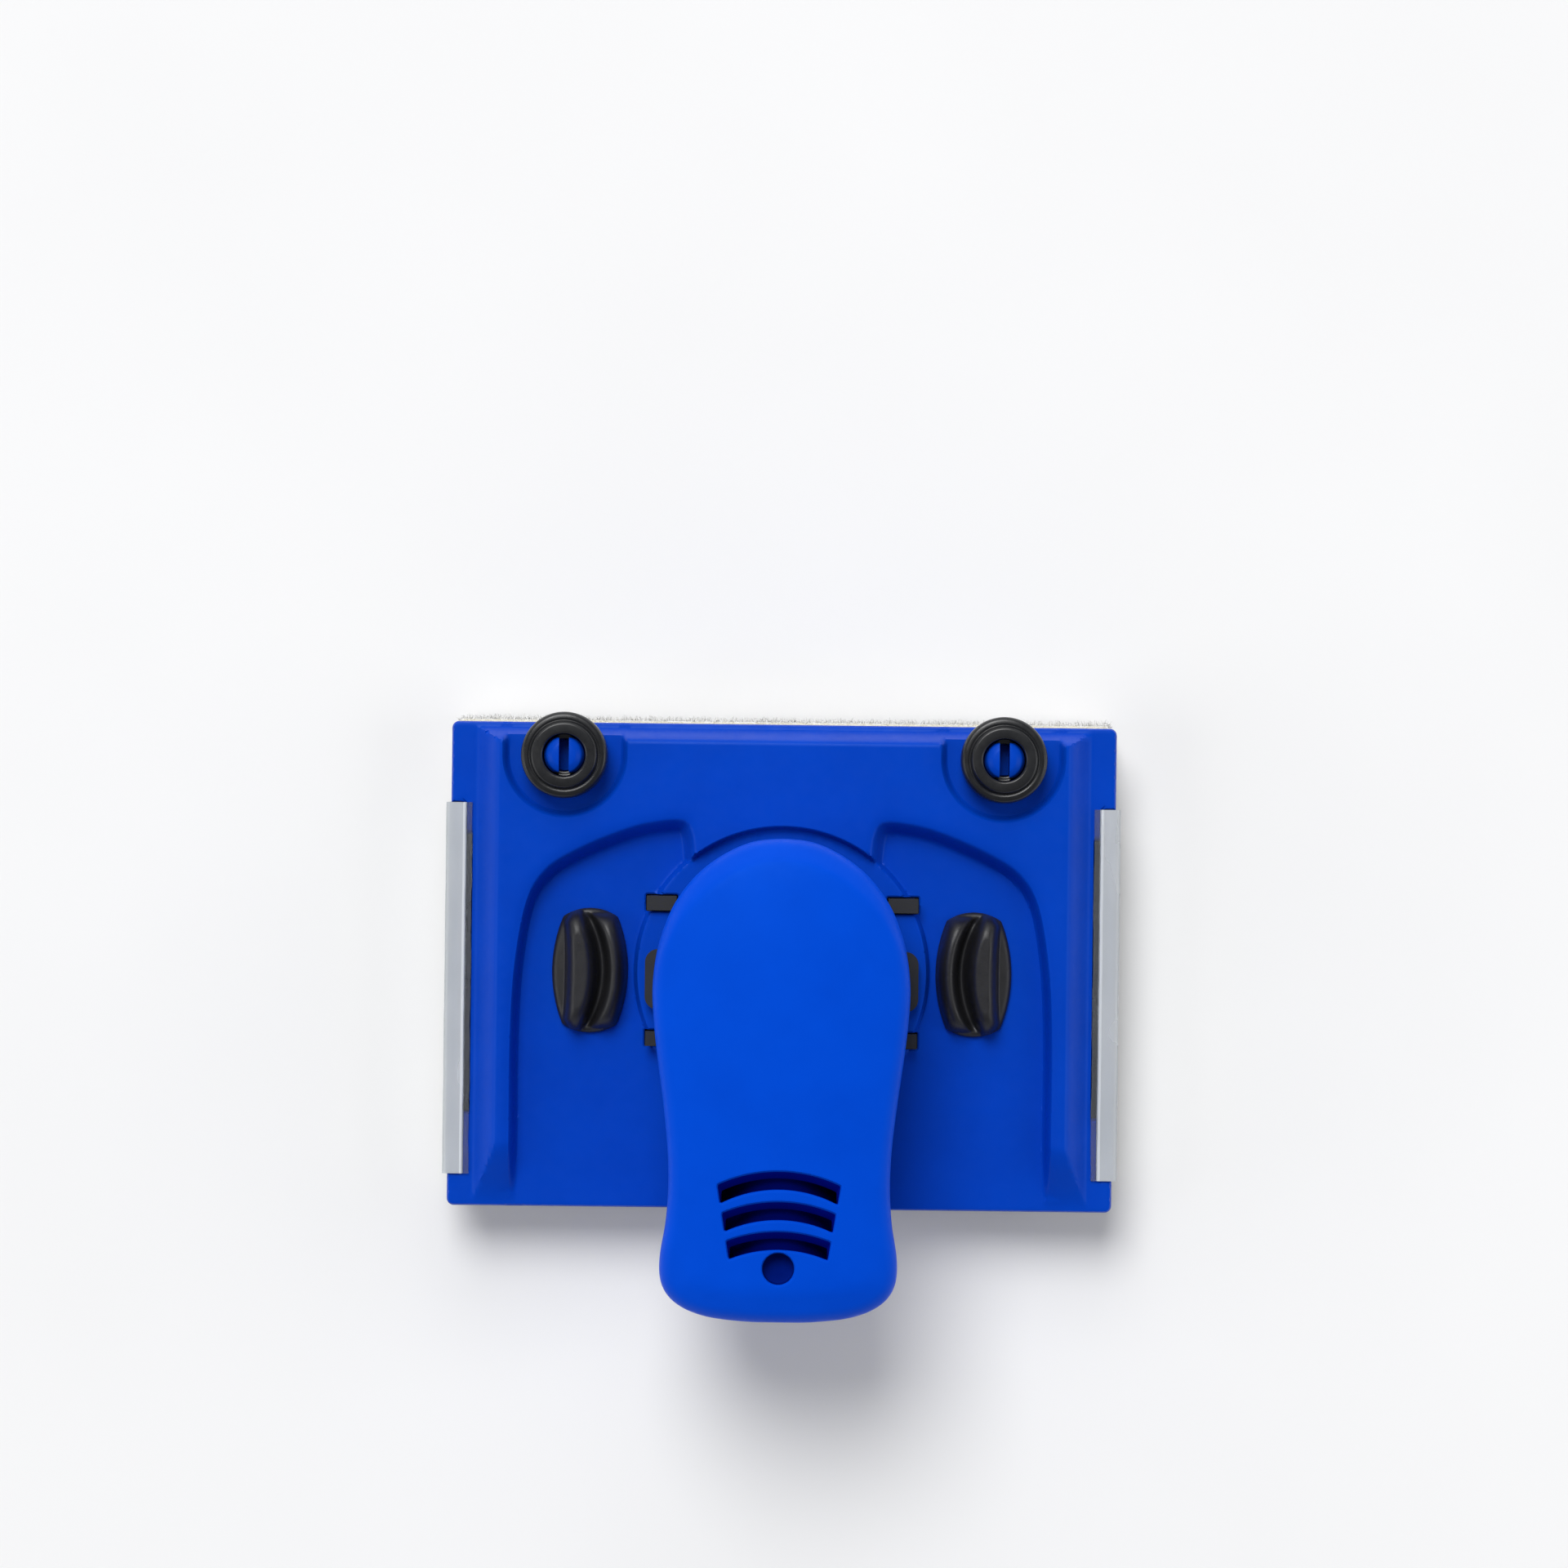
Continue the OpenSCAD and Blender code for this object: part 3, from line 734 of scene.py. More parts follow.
def plate_loop(step=0.8):
    pts = []

    def corner(cx, cy, a0, r=1.3):
        for i in range(7):
            a = math.radians(a0 + 90 * i / 6)
            pts.append((cx + r * math.cos(a), cy + r * math.sin(a)))

    def edge(p, q):
        n = max(1, int(math.dist(p, q) / step))
        for i in range(1, n):
            pts.append((p[0] + (q[0] - p[0]) * i / n, p[1] + (q[1] - p[1]) * i / n))

    corner(62.2, Y_TOP - 1.3, 0)
    edge((62.2, Y_TOP), (-62.2, Y_TOP))
    corner(-62.2, Y_TOP - 1.3, 90)
    for a, b in (((-63.5, 45), (-63.5, 30.8)), ((-63.5, 30.8), (-60.8, 30.8)), ((-60.8, 30.8), (-60.8, -40)), ((-60.8, -40), (-63.5, -40)), ((-63.5, -40), (-63.5, -44.9))):
        edge(a, b)
        if b != (-63.5, -44.9):
            pts.append(b)
    corner(-62.2, Y_BOT + 1.3, 180)
    edge((-62.2, Y_BOT), (62.2, Y_BOT))
    corner(62.2, Y_BOT + 1.3, 270)
    for a, b in (((63.5, -44.9), (63.5, -40)), ((63.5, -40), (60.8, -40)), ((60.8, -40), (60.8, 30.8)), ((60.8, 30.8), (63.5, 30.8)), ((63.5, 30.8), (63.5, 45))):
        edge(a, b)
        if b != (63.5, 45):
            pts.append(b)
    return ccw(np.array(pts))


def plate_z(P, outline, well):
    x, y = P[:, 0], P[:, 1]
    ax = np.abs(x)
    r = np.hypot(x - PX, y - PY)

    def soft_ramp(d, run, rise):  # rounded ramp from 0 to rise over run
        t = np.clip(d / run, 0, 1)
        return rise * (t * t * (3 - 2 * t) * 0.55 + t * 0.45)

    side = soft_ramp(58.7 - ax, 4.6, RIM - FL1)
    top = soft_ramp(Y_TOP - 0.9 - y, 2.6, RIM - FL1)
    bot = soft_ramp(y - (Y_BOT + 0.8), 11.5, RIM - FL1)
    rim = np.minimum(np.minimum(side, top), bot)
    dw = signed_dist(P, well)
    run = 1.25 + 0.9 * smoothstep(8, 22, y)
    wall = smoothstep(-0.25, 1.0, dw / run)
    z = FL1 + rim * (1 - wall)
    z = z - 0.25 * np.exp(-((dw + 0.2) / 0.9) ** 2) * (rim > 0.5)
    # straight sides of the middle land and the round plateau
    land = 1 - smoothstep(15.8, 17.6, ax)
    land *= smoothstep(3, 8, y)
    z = np.maximum(z, FL1 + (RIM - FL1) * land * (y < 30) * smoothstep(disc_edge(P) - 0.4, disc_edge(P) + 0.8, r))
    disc = FL1 + (DISC - FL1) * (1 - smoothstep(27.4, 28.4, r))
    inside = 1 - smoothstep(27.2, 28.0, r)
    z = np.where(inside > 0, np.maximum(disc, FL1) * inside + np.maximum(z, disc) * (1 - inside), np.maximum(z, disc))
    # U pocket around each wheel
    dx = ax - 41.7
    dy = np.minimum(y - 40.0, 0.0)
    rp = np.hypot(dx, dy)
    pocket = 1 - smoothstep(10.6, 11.9, rp)
    z = z * (1 - pocket) + np.minimum(z, POST) * pocket
    boss = (1 - smoothstep(4.7, 5.2, np.hypot(dx, y - 40.0))) * 0.5
    z = z + boss
    # groove beside each guard
    g = (1 - smoothstep(0.52, 0.66, 60.0 - ax)) * (1 - smoothstep(60.82, 60.9, ax)) * smoothstep(-28.6, -28.2, y) * (1 - smoothstep(24.9, 25.3, y))
    z = z - 0.9 * g
    # rounded outer edge
    d = np.maximum(signed_dist(P, outline), 0)
    return z - fillet(d / 0.55, 1.0) * 0.55


def disc_edge(P):
    return 28.0


def window_loop(cx, cy):
    hx, hy, r = 3.1, 1.65, 0.3
    pts = []
    for sx, sy, a0 in ((1, 1, 0), (-1, 1, 90), (-1, -1, 180), (1, -1, 270)):
        for i in range(4):
            a = math.radians(a0 + 30 * i)
            pts.append((cx + sx * (hx - r) + r * math.cos(a), cy + sy * (hy - r) + r * math.sin(a)))
    out = []
    for i, p in enumerate(pts):
        q = pts[(i + 1) % len(pts)]
        n = max(1, int(math.dist(p, q) / 0.6))
        out += [(p[0] + (q[0] - p[0]) * k / n, p[1] + (q[1] - p[1]) * k / n) for k in range(n)]
    return ccw(np.array(out))


def make_shield():
    outline = plate_loop()
    well = well_loop()
    holes = [window_loop(s * 23.0, y) for s in (-1, 1) for y in (12.05, -13.75)]
    holes.append(circle(PX, PY, 12.2, 72))
    free = [rings(outline, [0.06, 0.16, 0.3, 0.45, 0.62, 1.0])]
    free.append(rings(well, [-1.2, -0.8, -0.5, -0.3, -0.1, 0.1, 0.3, 0.5, 0.75, 1.0, 1.25, 1.5, 1.8, 2.15, 2.6]))
    for h in holes:
        free.append(rings(h, [-0.12, -0.3, -0.6]))
    for r in (26.9, 27.3, 27.5, 27.7, 27.9, 28.1, 28.3, 28.5, 28.9):
        free.append(circle(PX, PY, r, 300))
    for s in (-1, 1):
        for r in (4.5, 4.7, 4.85, 5.0, 5.15, 5.4):
            free.append(circle(s * 41.7, 40.0, r, 72))
        for r in (10.3, 10.6, 10.85, 11.1, 11.35, 11.6, 11.9, 12.2):
            a = np.linspace(math.pi, 2 * math.pi, 90)
            free.append(np.c_[s * 41.7 + r * np.cos(a), 40 + r * np.sin(a)])
            for t in (-1, 1):
                yy = np.arange(40.4, 46.2, 0.5)
                free.append(np.c_[np.full(len(yy), s * 41.7 + t * r), yy])
        for ax in (54.0, 54.4, 54.9, 55.6, 56.4, 57.2, 58.0, 58.5, 58.9, 59.3):
            yy = np.arange(Y_BOT + 0.8, Y_TOP - 0.8, 0.9)
            free.append(np.c_[np.full(len(yy), s * ax), yy])
        for ax in (59.3, 59.36, 59.42, 59.5, 59.8, 60.1, 60.4, 60.5):
            yy = np.arange(-28.8, 27.4, 0.45)
            free.append(np.c_[np.full(len(yy), s * ax), yy])
        for ax in (15.6, 16.0, 16.4, 16.8, 17.2, 17.7):
            yy = np.arange(18, 30, 0.6)
            free.append(np.c_[np.full(len(yy), s * ax), yy])
    for yy in (42.6, 43.0, 43.4, 43.9, 44.4, 44.9, 45.3, 45.6):
        xx = np.arange(-58, 58.1, 0.9)
        free.append(np.c_[xx, np.full(len(xx), yy)])
    free.append(hexgrid(-63, 63, Y_BOT, Y_TOP, 1.5))
    free = np.vstack(free)
    keep = signed_dist(free, outline) > 0.05
    for h in holes:
        keep &= signed_dist(free, h) < -0.08
    free = thin(free[keep], np.vstack([outline] + holes), 0.17)
    V, T, idx = triangulate(outline, holes, free)
    z = plate_z(V, outline, well)
    for h in holes:
        z -= fillet(np.maximum(-signed_dist(V, h), 0) / 0.25, 1.0) * 0.25
    m = Mesh()
    top = m.surface(V, z, T)
    V2, T2, idx2 = triangulate(outline, holes, np.zeros((0, 2)))
    bot = m.surface(V2, np.full(len(V2), FL0), T2, up=False)
    for a, b in zip(idx, idx2):
        m.strip([top + i for i in a], [bot + i for i in b])
    o = m.obj("shield", 35)
    return o


def make_post(sx):
    """Split snap post with a barbed head, cut into two D halves."""
    halves = []
    for side in (-1, 1):
        prof = rounded([(0, POST - 0.3), (3.0, POST - 0.3), (3.0, POST + 4.45), (3.85, POST + 4.7), (3.85, POST + 5.6), (3.35, POST + 6.7), (2.2, POST + 7.3), (0, POST + 7.5)], 0.25, 3)
        o = lathe("h", prof, 72, (0, 0, 0), smooth=180, closed=True)
        lo = (0.95, -3.25, POST - 0.3) if side > 0 else (-5, -3.25, POST - 0.3)
        hi = (5, 3.25, POST + 9) if side > 0 else (-0.95, 3.25, POST + 9)
        c = box("c", lo, hi)
        boolean(o, c, "INTERSECT")
        b = o.modifiers.new("b", "BEVEL")
        b.width, b.segments, b.limit_method, b.angle_limit = 0.22 * MM, 3, "ANGLE", math.radians(50)
        apply_mods(o)
        halves.append(o)
    base = lathe("bs", rounded([(0, POST - 0.4), (2.9, POST - 0.4), (2.9, POST + 1.0), (0, POST + 1.0)], 0.1), 64, (0, 0, 0))
    o = join(halves + [base], "post")
    o.data.transform(Matrix.Translation(Vector((sx * 41.7 * MM, 40 * MM, 0))))
    shade(o, 40)
    return o


shield = make_shield()
done(shield, "shield", M_BLUE_PLATE_PAINTED_SHADE, "blue_plastic", "shield_plate")
for nm, s in (("left", -1), ("right", 1)):
    p = make_post(s)
    p.name = "axle_post_" + nm
    done(p, "shield", M_BLUE_PLATE_PAINTED_SHADE, "blue_plastic")


# ------------------------------------------------------------------- wheels
def make_wheel(name, sx):
    z0 = POST + 0.6
    prof = rounded([(3.05, z0 + 0.15), (5.1, z0 + 0.15), (5.2, z0), (7.6, z0), (8.2, z0 + 0.6), (8.2, z0 + 5.3), (7.75, z0 + 6.0),
                    (6.95, z0 + 6.1), (6.6, z0 + 5.95), (6.35, z0 + 6.35), (6.05, z0 + 7.0), (4.35, z0 + 7.0), (4.05, z0 + 6.75),
                    (4.05, z0 + 3.9), (3.05, z0 + 3.9), (3.05, z0 + 0.15)], 0.4, 4)
    prof[0] = (3.05, z0 + 0.15)
    return lathe(name, prof[:-1], 128, (sx * 41.7, 40, 0), smooth=38)


for nm, s in (("left", -1), ("right", 1)):
    w = make_wheel("wheel_" + nm, s)
    done(w, "wheel_" + nm, M_WHEEL, "wheel_plastic", "guide_wheel_" + nm)


# ------------------------------------------------------------- finger rests
def rest_loop(d, step=0.4):
    v = np.linspace(-12 + d, 12 - d, 241)
    side = np.sqrt((27 - d) ** 2 - v ** 2) - 19.7
    a = np.maximum(np.abs(v) - 3, 0)
    cap = np.sqrt(np.maximum((9 - d) ** 2 - a ** 2, 0))
    w = np.minimum(side, cap)
    loop = np.vstack([np.c_[w, v], np.c_[-w, v][::-1]])
    return ccw(resample(loop, step))


def make_rest(name, s):
    """Rubber grip: barrel-shaped base, a broad outer rib, a deep groove and a narrow inner rib, both bulging to the handle."""
    outline = rest_loop(0.0, 0.4)
    free = np.vstack([rings(outline, [0.06, 0.15, 0.28, 0.45, 0.7]), hexgrid(-8, 8, -12.6, 12.6, 0.26)])
    free = free[signed_dist(free, outline) > 0.04]
    free = thin(free, outline, 0.12)
    V, T, idx = triangulate(outline, [], free)
    u, v = V[:, 0], V[:, 1]  # u grows towards the handle
    d = np.maximum(signed_dist(V, outline), 0)
    z = 14.95 + 1.1 * np.sqrt(np.clip(1 - (1 - np.clip(d / 1.3, 0, 1)) ** 2, 0, 1)) + 0.35 * smoothstep(0.5, 4, d)

    def rib(lo, hi, half, top, p):
        mid, hw = (lo + hi) / 2, np.maximum((hi - lo) / 2, 0.05)
        q = np.clip(np.abs(u - mid) / hw, 0, 1)
        e = np.clip(np.abs(v) / half, 0, 1)
        cross = np.clip(1 - q ** p, 0, 1) ** 0.62
        end = np.clip(1 - e ** 5, 0, 1) ** 0.55
        return top * cross * end

    side = np.sqrt(27 ** 2 - np.clip(v, -12, 12) ** 2) - 19.7
    lo1 = -4.9 + 0.35 * (1 - (v / 11) ** 2) + 1.2 * smoothstep(9.0, 11.4, np.abs(v))
    hi1 = np.sqrt(20.8 ** 2 - v ** 2) - 19.15
    z = z + rib(lo1, hi1, 11.5, 4.9, 2.6)
    # a shallow hollow along the crest of the outer rib
    mid1 = (lo1 + hi1) / 2 + 0.3
    z = z - 0.35 * np.exp(-((u - mid1) / 1.0) ** 2) * np.clip(1 - (v / 8.5) ** 2, 0, 1)
    lo2 = np.sqrt(20.7 ** 2 - v ** 2) - 17.6
    z = z + rib(lo2, side - 0.35, 10.9, 3.9, 2.3)
    # the groove between them is deeper than the base
    g = (hi1 + lo2) / 2
    z = z - 0.7 * np.exp(-((u - g) / 0.75) ** 2) * smoothstep(11.5, 9.5, np.abs(v))
    z = np.clip(z, 14.6, 20.95)
    P = V.copy()
    P[:, 0] *= -s
    if s > 0:
        T = T[:, ::-1]
    m = Mesh()
    cx, cy = s * 36.6, -1.0
    top = m.surface(P + [cx, cy], z, T)
    ring0 = [top + i for i in idx[0]]
    lo = m.add(np.c_[P[idx[0]] + [cx, cy], np.full(len(idx[0]), 14.52)])
    ring1 = list(range(lo, lo + len(idx[0])))
    m.strip(ring0, ring1)
    c = m.add([(cx, cy, 14.52)])
    for i in range(len(ring1)):
        m.face((ring1[i], ring1[(i + 1) % len(ring1)], c))
    o = m.obj(name, 60)
    sm = o.modifiers.new("s", "SMOOTH")
    sm.factor, sm.iterations = 0.5, 2
    apply_mods(o)
    shade(o, 60)
    return o


for nm, s in (("left", -1), ("right", 1)):
    done(make_rest("finger_grip_" + nm, s), "shield", M_RUBBER, "black_rubber", "finger_rest_" + nm)


# --------------------------------------------------------------- side guards
def make_guard(name, s):
    """Clip-on film profile: top lip, skirt beside the pad and a lower lip, slightly wavy as cut from a roll."""
    prof = [(59.4, 14.58), (59.4, 14.8), (59.55, 14.95), (60.5, 14.95), (60.66, 15.03), (60.84, 15.08), (61.02, 15.03), (61.18, 14.97), (62.4, 15.02), (63.6, 15.1), (64.1, 15.0), (64.42, 14.5), (64.45, 3.3), (64.3, 3.02), (64.05, 3.02), (63.95, 3.3),
            (63.9, 11.6), (63.6, 11.87), (60.1, 11.87), (59.9, 12.1), (60.05, 12.42), (63.2, 12.42), (63.42, 12.65), (63.4, 14.2), (63.05, 14.45), (61.3, 14.50), (60.5, 14.54), (59.7, 14.56)]
    m = Mesh()
    ys = np.r_[-40.1, -39.9, np.linspace(-39.5, 30.2, 180), 30.6, 30.8]
    rows = []
    for k, y in enumerate(ys):
        wob = 0.05 * math.sin(y * 0.31 + s) + 0.03 * math.sin(y * 0.83 + 2 * s)
        end = 1.0 if 0 < k < len(ys) - 1 else 0.985
        row = []
        for i, (x, z) in enumerate(prof):
            lip = 1.0 if x < 60.5 and z > 14 else 0.25
            dx = wob * lip
            dz = 0.04 * math.sin(y * 0.47 + 1.3) * (1 if z > 14 else 0)
            row.append((s * min(x + dx, 64.48), y, max(min(z + dz, 15.18), 3.0)))
        rows.append(m.add(row))
    n = len(prof)
    for k in range(len(ys) - 1):
        a, b = rows[k], rows[k + 1]
        for i in range(n):
            j = (i + 1) % n
            x, z = (prof[i][0] + prof[j][0]) / 2, (prof[i][1] + prof[j][1]) / 2
            m.face((a + i, a + j, b + j, b + i), (1 if x < 60.6 else 2 if x < 61.15 else 0) if z > 14.2 else 0)
    m.face([rows[0] + i for i in range(n)][::-1])
    m.face([rows[-1] + i for i in range(n)])
    o = m.obj(name, 50)
    import bmesh
    bm = bmesh.new()
    bm.from_mesh(o.data)
    bmesh.ops.triangulate(bm, faces=[f for f in bm.faces if len(f.verts) > 4])
    bm.to_mesh(o.data)
    bm.free()
    shade(o, 50)
    return o


for nm, s in (("left", -1), ("right", 1)):
    g = done(make_guard("edge_guard_" + nm, s), "shield", [M_FILM, M_LIP, M_BEAD], "clear_film", "side_guard_" + nm)
    # painted shadow: a black strip in the groove beside each guard's lip stands for the dark gap line there
    strip = box("lip_shadow_strip_" + nm, (min(s * 59.5, s * 60.72), -28.1, 13.66), (max(s * 59.5, s * 60.72), 24.8, 14.48), 0.1, 2)
    done(strip, "shield", M_BLACK, "black_plastic")


# ---------------------------------------------------------------------- pad
def make_flock():
    """Pile fabric: a thin woven ground covered with short dense fibres on its face and round its edges."""
    x0, x1, y0, y1 = -62.6, 62.6, -44.1, 46.9
    g = box("ground", (x0, y0, 1.35), (x1, y1, 2.2), 0.25, 2)
    m = Mesh()

    def tuft(px, py, pz, nx, ny, nz, length, rad):
        # a three-sided tapering fibre clump
        d = np.array([nx, ny, nz], float)
        d /= np.linalg.norm(d)
        t = np.cross(d, [0.3, 0.5, 0.8])
        t /= np.linalg.norm(t)
        b = np.cross(d, t)
        p = np.array([px, py, pz], float)
        bend = nrng.normal(0, 0.18, 3) * length
        base = [p + rad * (math.cos(a) * t + math.sin(a) * b) for a in (0, 2.094, 4.189)]
        mid = [p + d * length * 0.55 + bend * 0.4 + rad * 0.8 * (math.cos(a) * t + math.sin(a) * b) for a in (0, 2.094, 4.189)]
        tip = p + d * length + bend
        s = m.add(base + mid + [tip])
        for i in range(3):
            j = (i + 1) % 3
            m.face((s + i, s + j, s + 3 + j, s + 3 + i))
            m.face((s + 3 + i, s + 3 + j, s + 6))
        m.face((s + 2, s + 1, s))

    many = 2
    # face pile, pointing down
    for _ in range(5200 * many):
        px, py = nrng.uniform(x0 + 0.3, x1 - 0.3), nrng.uniform(y0 + 0.3, y1 - 0.3)
        tuft(px, py, 1.5, nrng.normal(0, 0.3), nrng.normal(0, 0.3), -1, nrng.uniform(0.9, 1.32), nrng.uniform(0.16, 0.30))
    # edge fringe
    for side in range(4):
        n = (1900 if side in (1, 3) else 1500) * many // 2
        for _ in range(n):
            if side == 0:
                px, py, nx, ny = nrng.uniform(x0, x1), y1 - 0.1, nrng.normal(0, 0.35), 1
            elif side == 1:
                px, py, nx, ny = nrng.uniform(x0, x1), y0 + 0.1, nrng.normal(0, 0.35), -1
            elif side == 2:
                px, py, nx, ny = x1 - 0.1, nrng.uniform(y0, y1), 1, nrng.normal(0, 0.35)
            else:
                px, py, nx, ny = x0 + 0.1, nrng.uniform(y0, y1), -1, nrng.normal(0, 0.35)
            tuft(px, py, nrng.uniform(1.3, 2.05), nx, ny, nrng.uniform(-1.2, 0.12), nrng.uniform(0.6, 1.25), nrng.uniform(0.10, 0.2))
    o = m.obj("pile", 0, merge=0)
    shade(o, 180)
    return join([g, o], "flock_pad")


def make_foam():
    """Open-cell foam slab with slightly bulged, porous sides."""
    x0, x1, y0, y1 = -62.6, 62.6, -44.0, 46.7
    z0, z1 = 2.2, 7.0
    m = Mesh()
    loop = []
    st = 0.7
    for x in np.arange(x0 + 0.8, x1 - 0.8, st):
        loop.append((x, y0))
    for a in np.linspace(-90, 0, 5):
        loop.append((x1 - 0.8 + 0.8 * math.cos(math.radians(a)), y0 + 0.8 + 0.8 * math.sin(math.radians(a))))
    for y in np.arange(y0 + 1.4, y1 - 0.8, st):
        loop.append((x1, y))
    for a in np.linspace(0, 90, 5):
        loop.append((x1 - 0.8 + 0.8 * math.cos(math.radians(a)), y1 - 0.8 + 0.8 * math.sin(math.radians(a))))
    for x in np.arange(x1 - 1.4, x0 + 0.8, -st):
        loop.append((x, y1))
    for a in np.linspace(90, 180, 5):
        loop.append((x0 + 0.8 + 0.8 * math.cos(math.radians(a)), y1 - 0.8 + 0.8 * math.sin(math.radians(a))))
    for y in np.arange(y1 - 1.4, y0 + 0.8, -st):
        loop.append((x0, y))
    for a in np.linspace(180, 270, 5):
        loop.append((x0 + 0.8 + 0.8 * math.cos(math.radians(a)), y0 + 0.8 + 0.8 * math.sin(math.radians(a))))
    loop = np.array(loop)
    nrm = loop_normals(loop)
    rows = []
    for k, z in enumerate(np.linspace(z0, z1, 9)):
        f = (z - z0) / (z1 - z0)
        inset = 0.28 * (2 * f - 1) ** 2 + (0.25 if k in (0, 8) else 0)
        rough = nrng.normal(0, 0.10, len(loop))
        pts = loop - nrm * (inset + rough * (0 if k in (0, 8) else 1))[..., None]
        zz = z + nrng.normal(0, 0.07, len(loop)) * (0 if k in (0, 8) else 1)
        rows.append(m.add(np.c_[pts, np.full(len(loop), 0.0) + zz]))
    n = len(loop)
    for k in range(8):
        m.strip([rows[k] + i for i in range(n)], [rows[k + 1] + i for i in range(n)])
    for r, up in ((rows[0], False), (rows[8], True)):
        c = m.add([((x0 + x1) / 2, (y0 + y1) / 2, z1 if up else z0)])
        for i in range(n):
            j = (i + 1) % n
            f = (r + i, r + j, c)
            m.face(f if up else f[::-1])
    o = m.obj("foam_slab", 60, merge=0)
    shade(o, 60)
    return o


fl = done(make_flock(), "pad", M_FLOCK, "flock", "pad_flock")
fo = done(make_foam(), "pad", M_FOAM, "foam", "pad_foam")


# -------------------------------------------------------------- pole socket
def make_socket():
    """Female fitting for a threaded pole: tube with a chamfered mouth, a blind end and a real internal thread."""
    n = 72
    pitch = 5.08
    m = Mesh()
    rows = []
    L = 30.0

    def add_row(r, y):
        pts = [(r * math.cos(2 * math.pi * i / n), y, SOCK_Z + r * math.sin(2 * math.pi * i / n)) for i in range(n)]
        rows.append(m.add(pts))

    # outside, blind end, then the threaded inside as a fine radius field
    add_row(9.7, SOCK_Y0 + 0.0)
    add_row(10.4, SOCK_Y0)
    add_row(11.5, SOCK_Y0)
    add_row(11.75, SOCK_Y0 + 0.3)
    for y in (-50.0, -42.0, -34.0):
        add_row(11.75, y)
    add_row(11.75, SOCK_Y0 + 32.3)
    add_row(11.4, SOCK_Y0 + 32.5)
    c_out = m.add([(0, SOCK_Y0 + 32.5, SOCK_Z)])
    first_inner = len(rows)
    ys = np.linspace(SOCK_Y0 + 0.0, SOCK_Y0 + L, 150)
    for y in ys:
        t = y - SOCK_Y0
        fade = min(1.0, max(0.0, (t - 1.0) / 1.5)) * min(1.0, max(0.0, (L - t) / 1.5))
        pts = []
        for i in range(n):
            a = 2 * math.pi * i / n
            ph = (t / pitch - a / (2 * math.pi)) % 1.0
            u = abs(ph - 0.5) * 2  # 0 in the crest's middle, 1 in the root
            tri = 1 - min(1.0, max(0.0, (u - 0.34) / 0.32))
            r = 9.65 - 1.35 * tri * fade + (0.35 * max(0.0, 1 - t / 0.7))
            pts.append((r * math.cos(a), y, SOCK_Z + r * math.sin(a)))
        rows.append(m.add(pts))
    for k in range(len(rows) - 1):
        if k == first_inner - 1:
            continue
        m.strip([rows[k] + i for i in range(n)], [rows[k + 1] + i for i in range(n)])
    # mouth: join the outer lip to the first inner row
    m.strip([rows[first_inner] + i for i in range(n)], [rows[0] + i for i in range(n)])
    for i in range(n):
        m.face((rows[first_inner - 1] + i, rows[first_inner - 1] + (i + 1) % n, c_out))
    c_in = m.add([(0, SOCK_Y0 + L, SOCK_Z)])
    last = rows[-1]
    for i in range(n):
        m.face((last + (i + 1) % n, last + i, c_in))
    o = m.obj("pole_fitting", 45, merge=0.002)
    return o


def make_collar(loop):
    """Collar round the pole's mouth: follows the end wall and closes the mouth under the handle."""
    V, T, idx = triangulate(loop, [], np.zeros((0, 2)))
    m = Mesh()
    top = m.surface(V, np.full(len(V), SPLIT - 0.2), T)
    bot = m.surface(V, np.full(len(V), 20.0), T, up=False)
    m.strip([top + i for i in idx[0]], [bot + i for i in idx[0]])
    o = m.obj("collar", 32)
    c = lathe("c", rounded([(0, -70), (12.4, -70), (12.4, -62.35), (0, -62.35)], 0.1), 128, (0, 0, 0), smooth=180)
    c.data.transform(Matrix.Rotation(math.radians(-90), 4, "X"))
    c.data.transform(Matrix.Translation(Vector((0, 0, SOCK_Z * MM))))
    boolean(o, c, "INTERSECT")
    b = o.modifiers.new("b", "BEVEL")
    b.width, b.segments, b.limit_method, b.angle_limit = 0.3 * MM, 3, "ANGLE", math.radians(50)
    apply_mods(o)
    return o


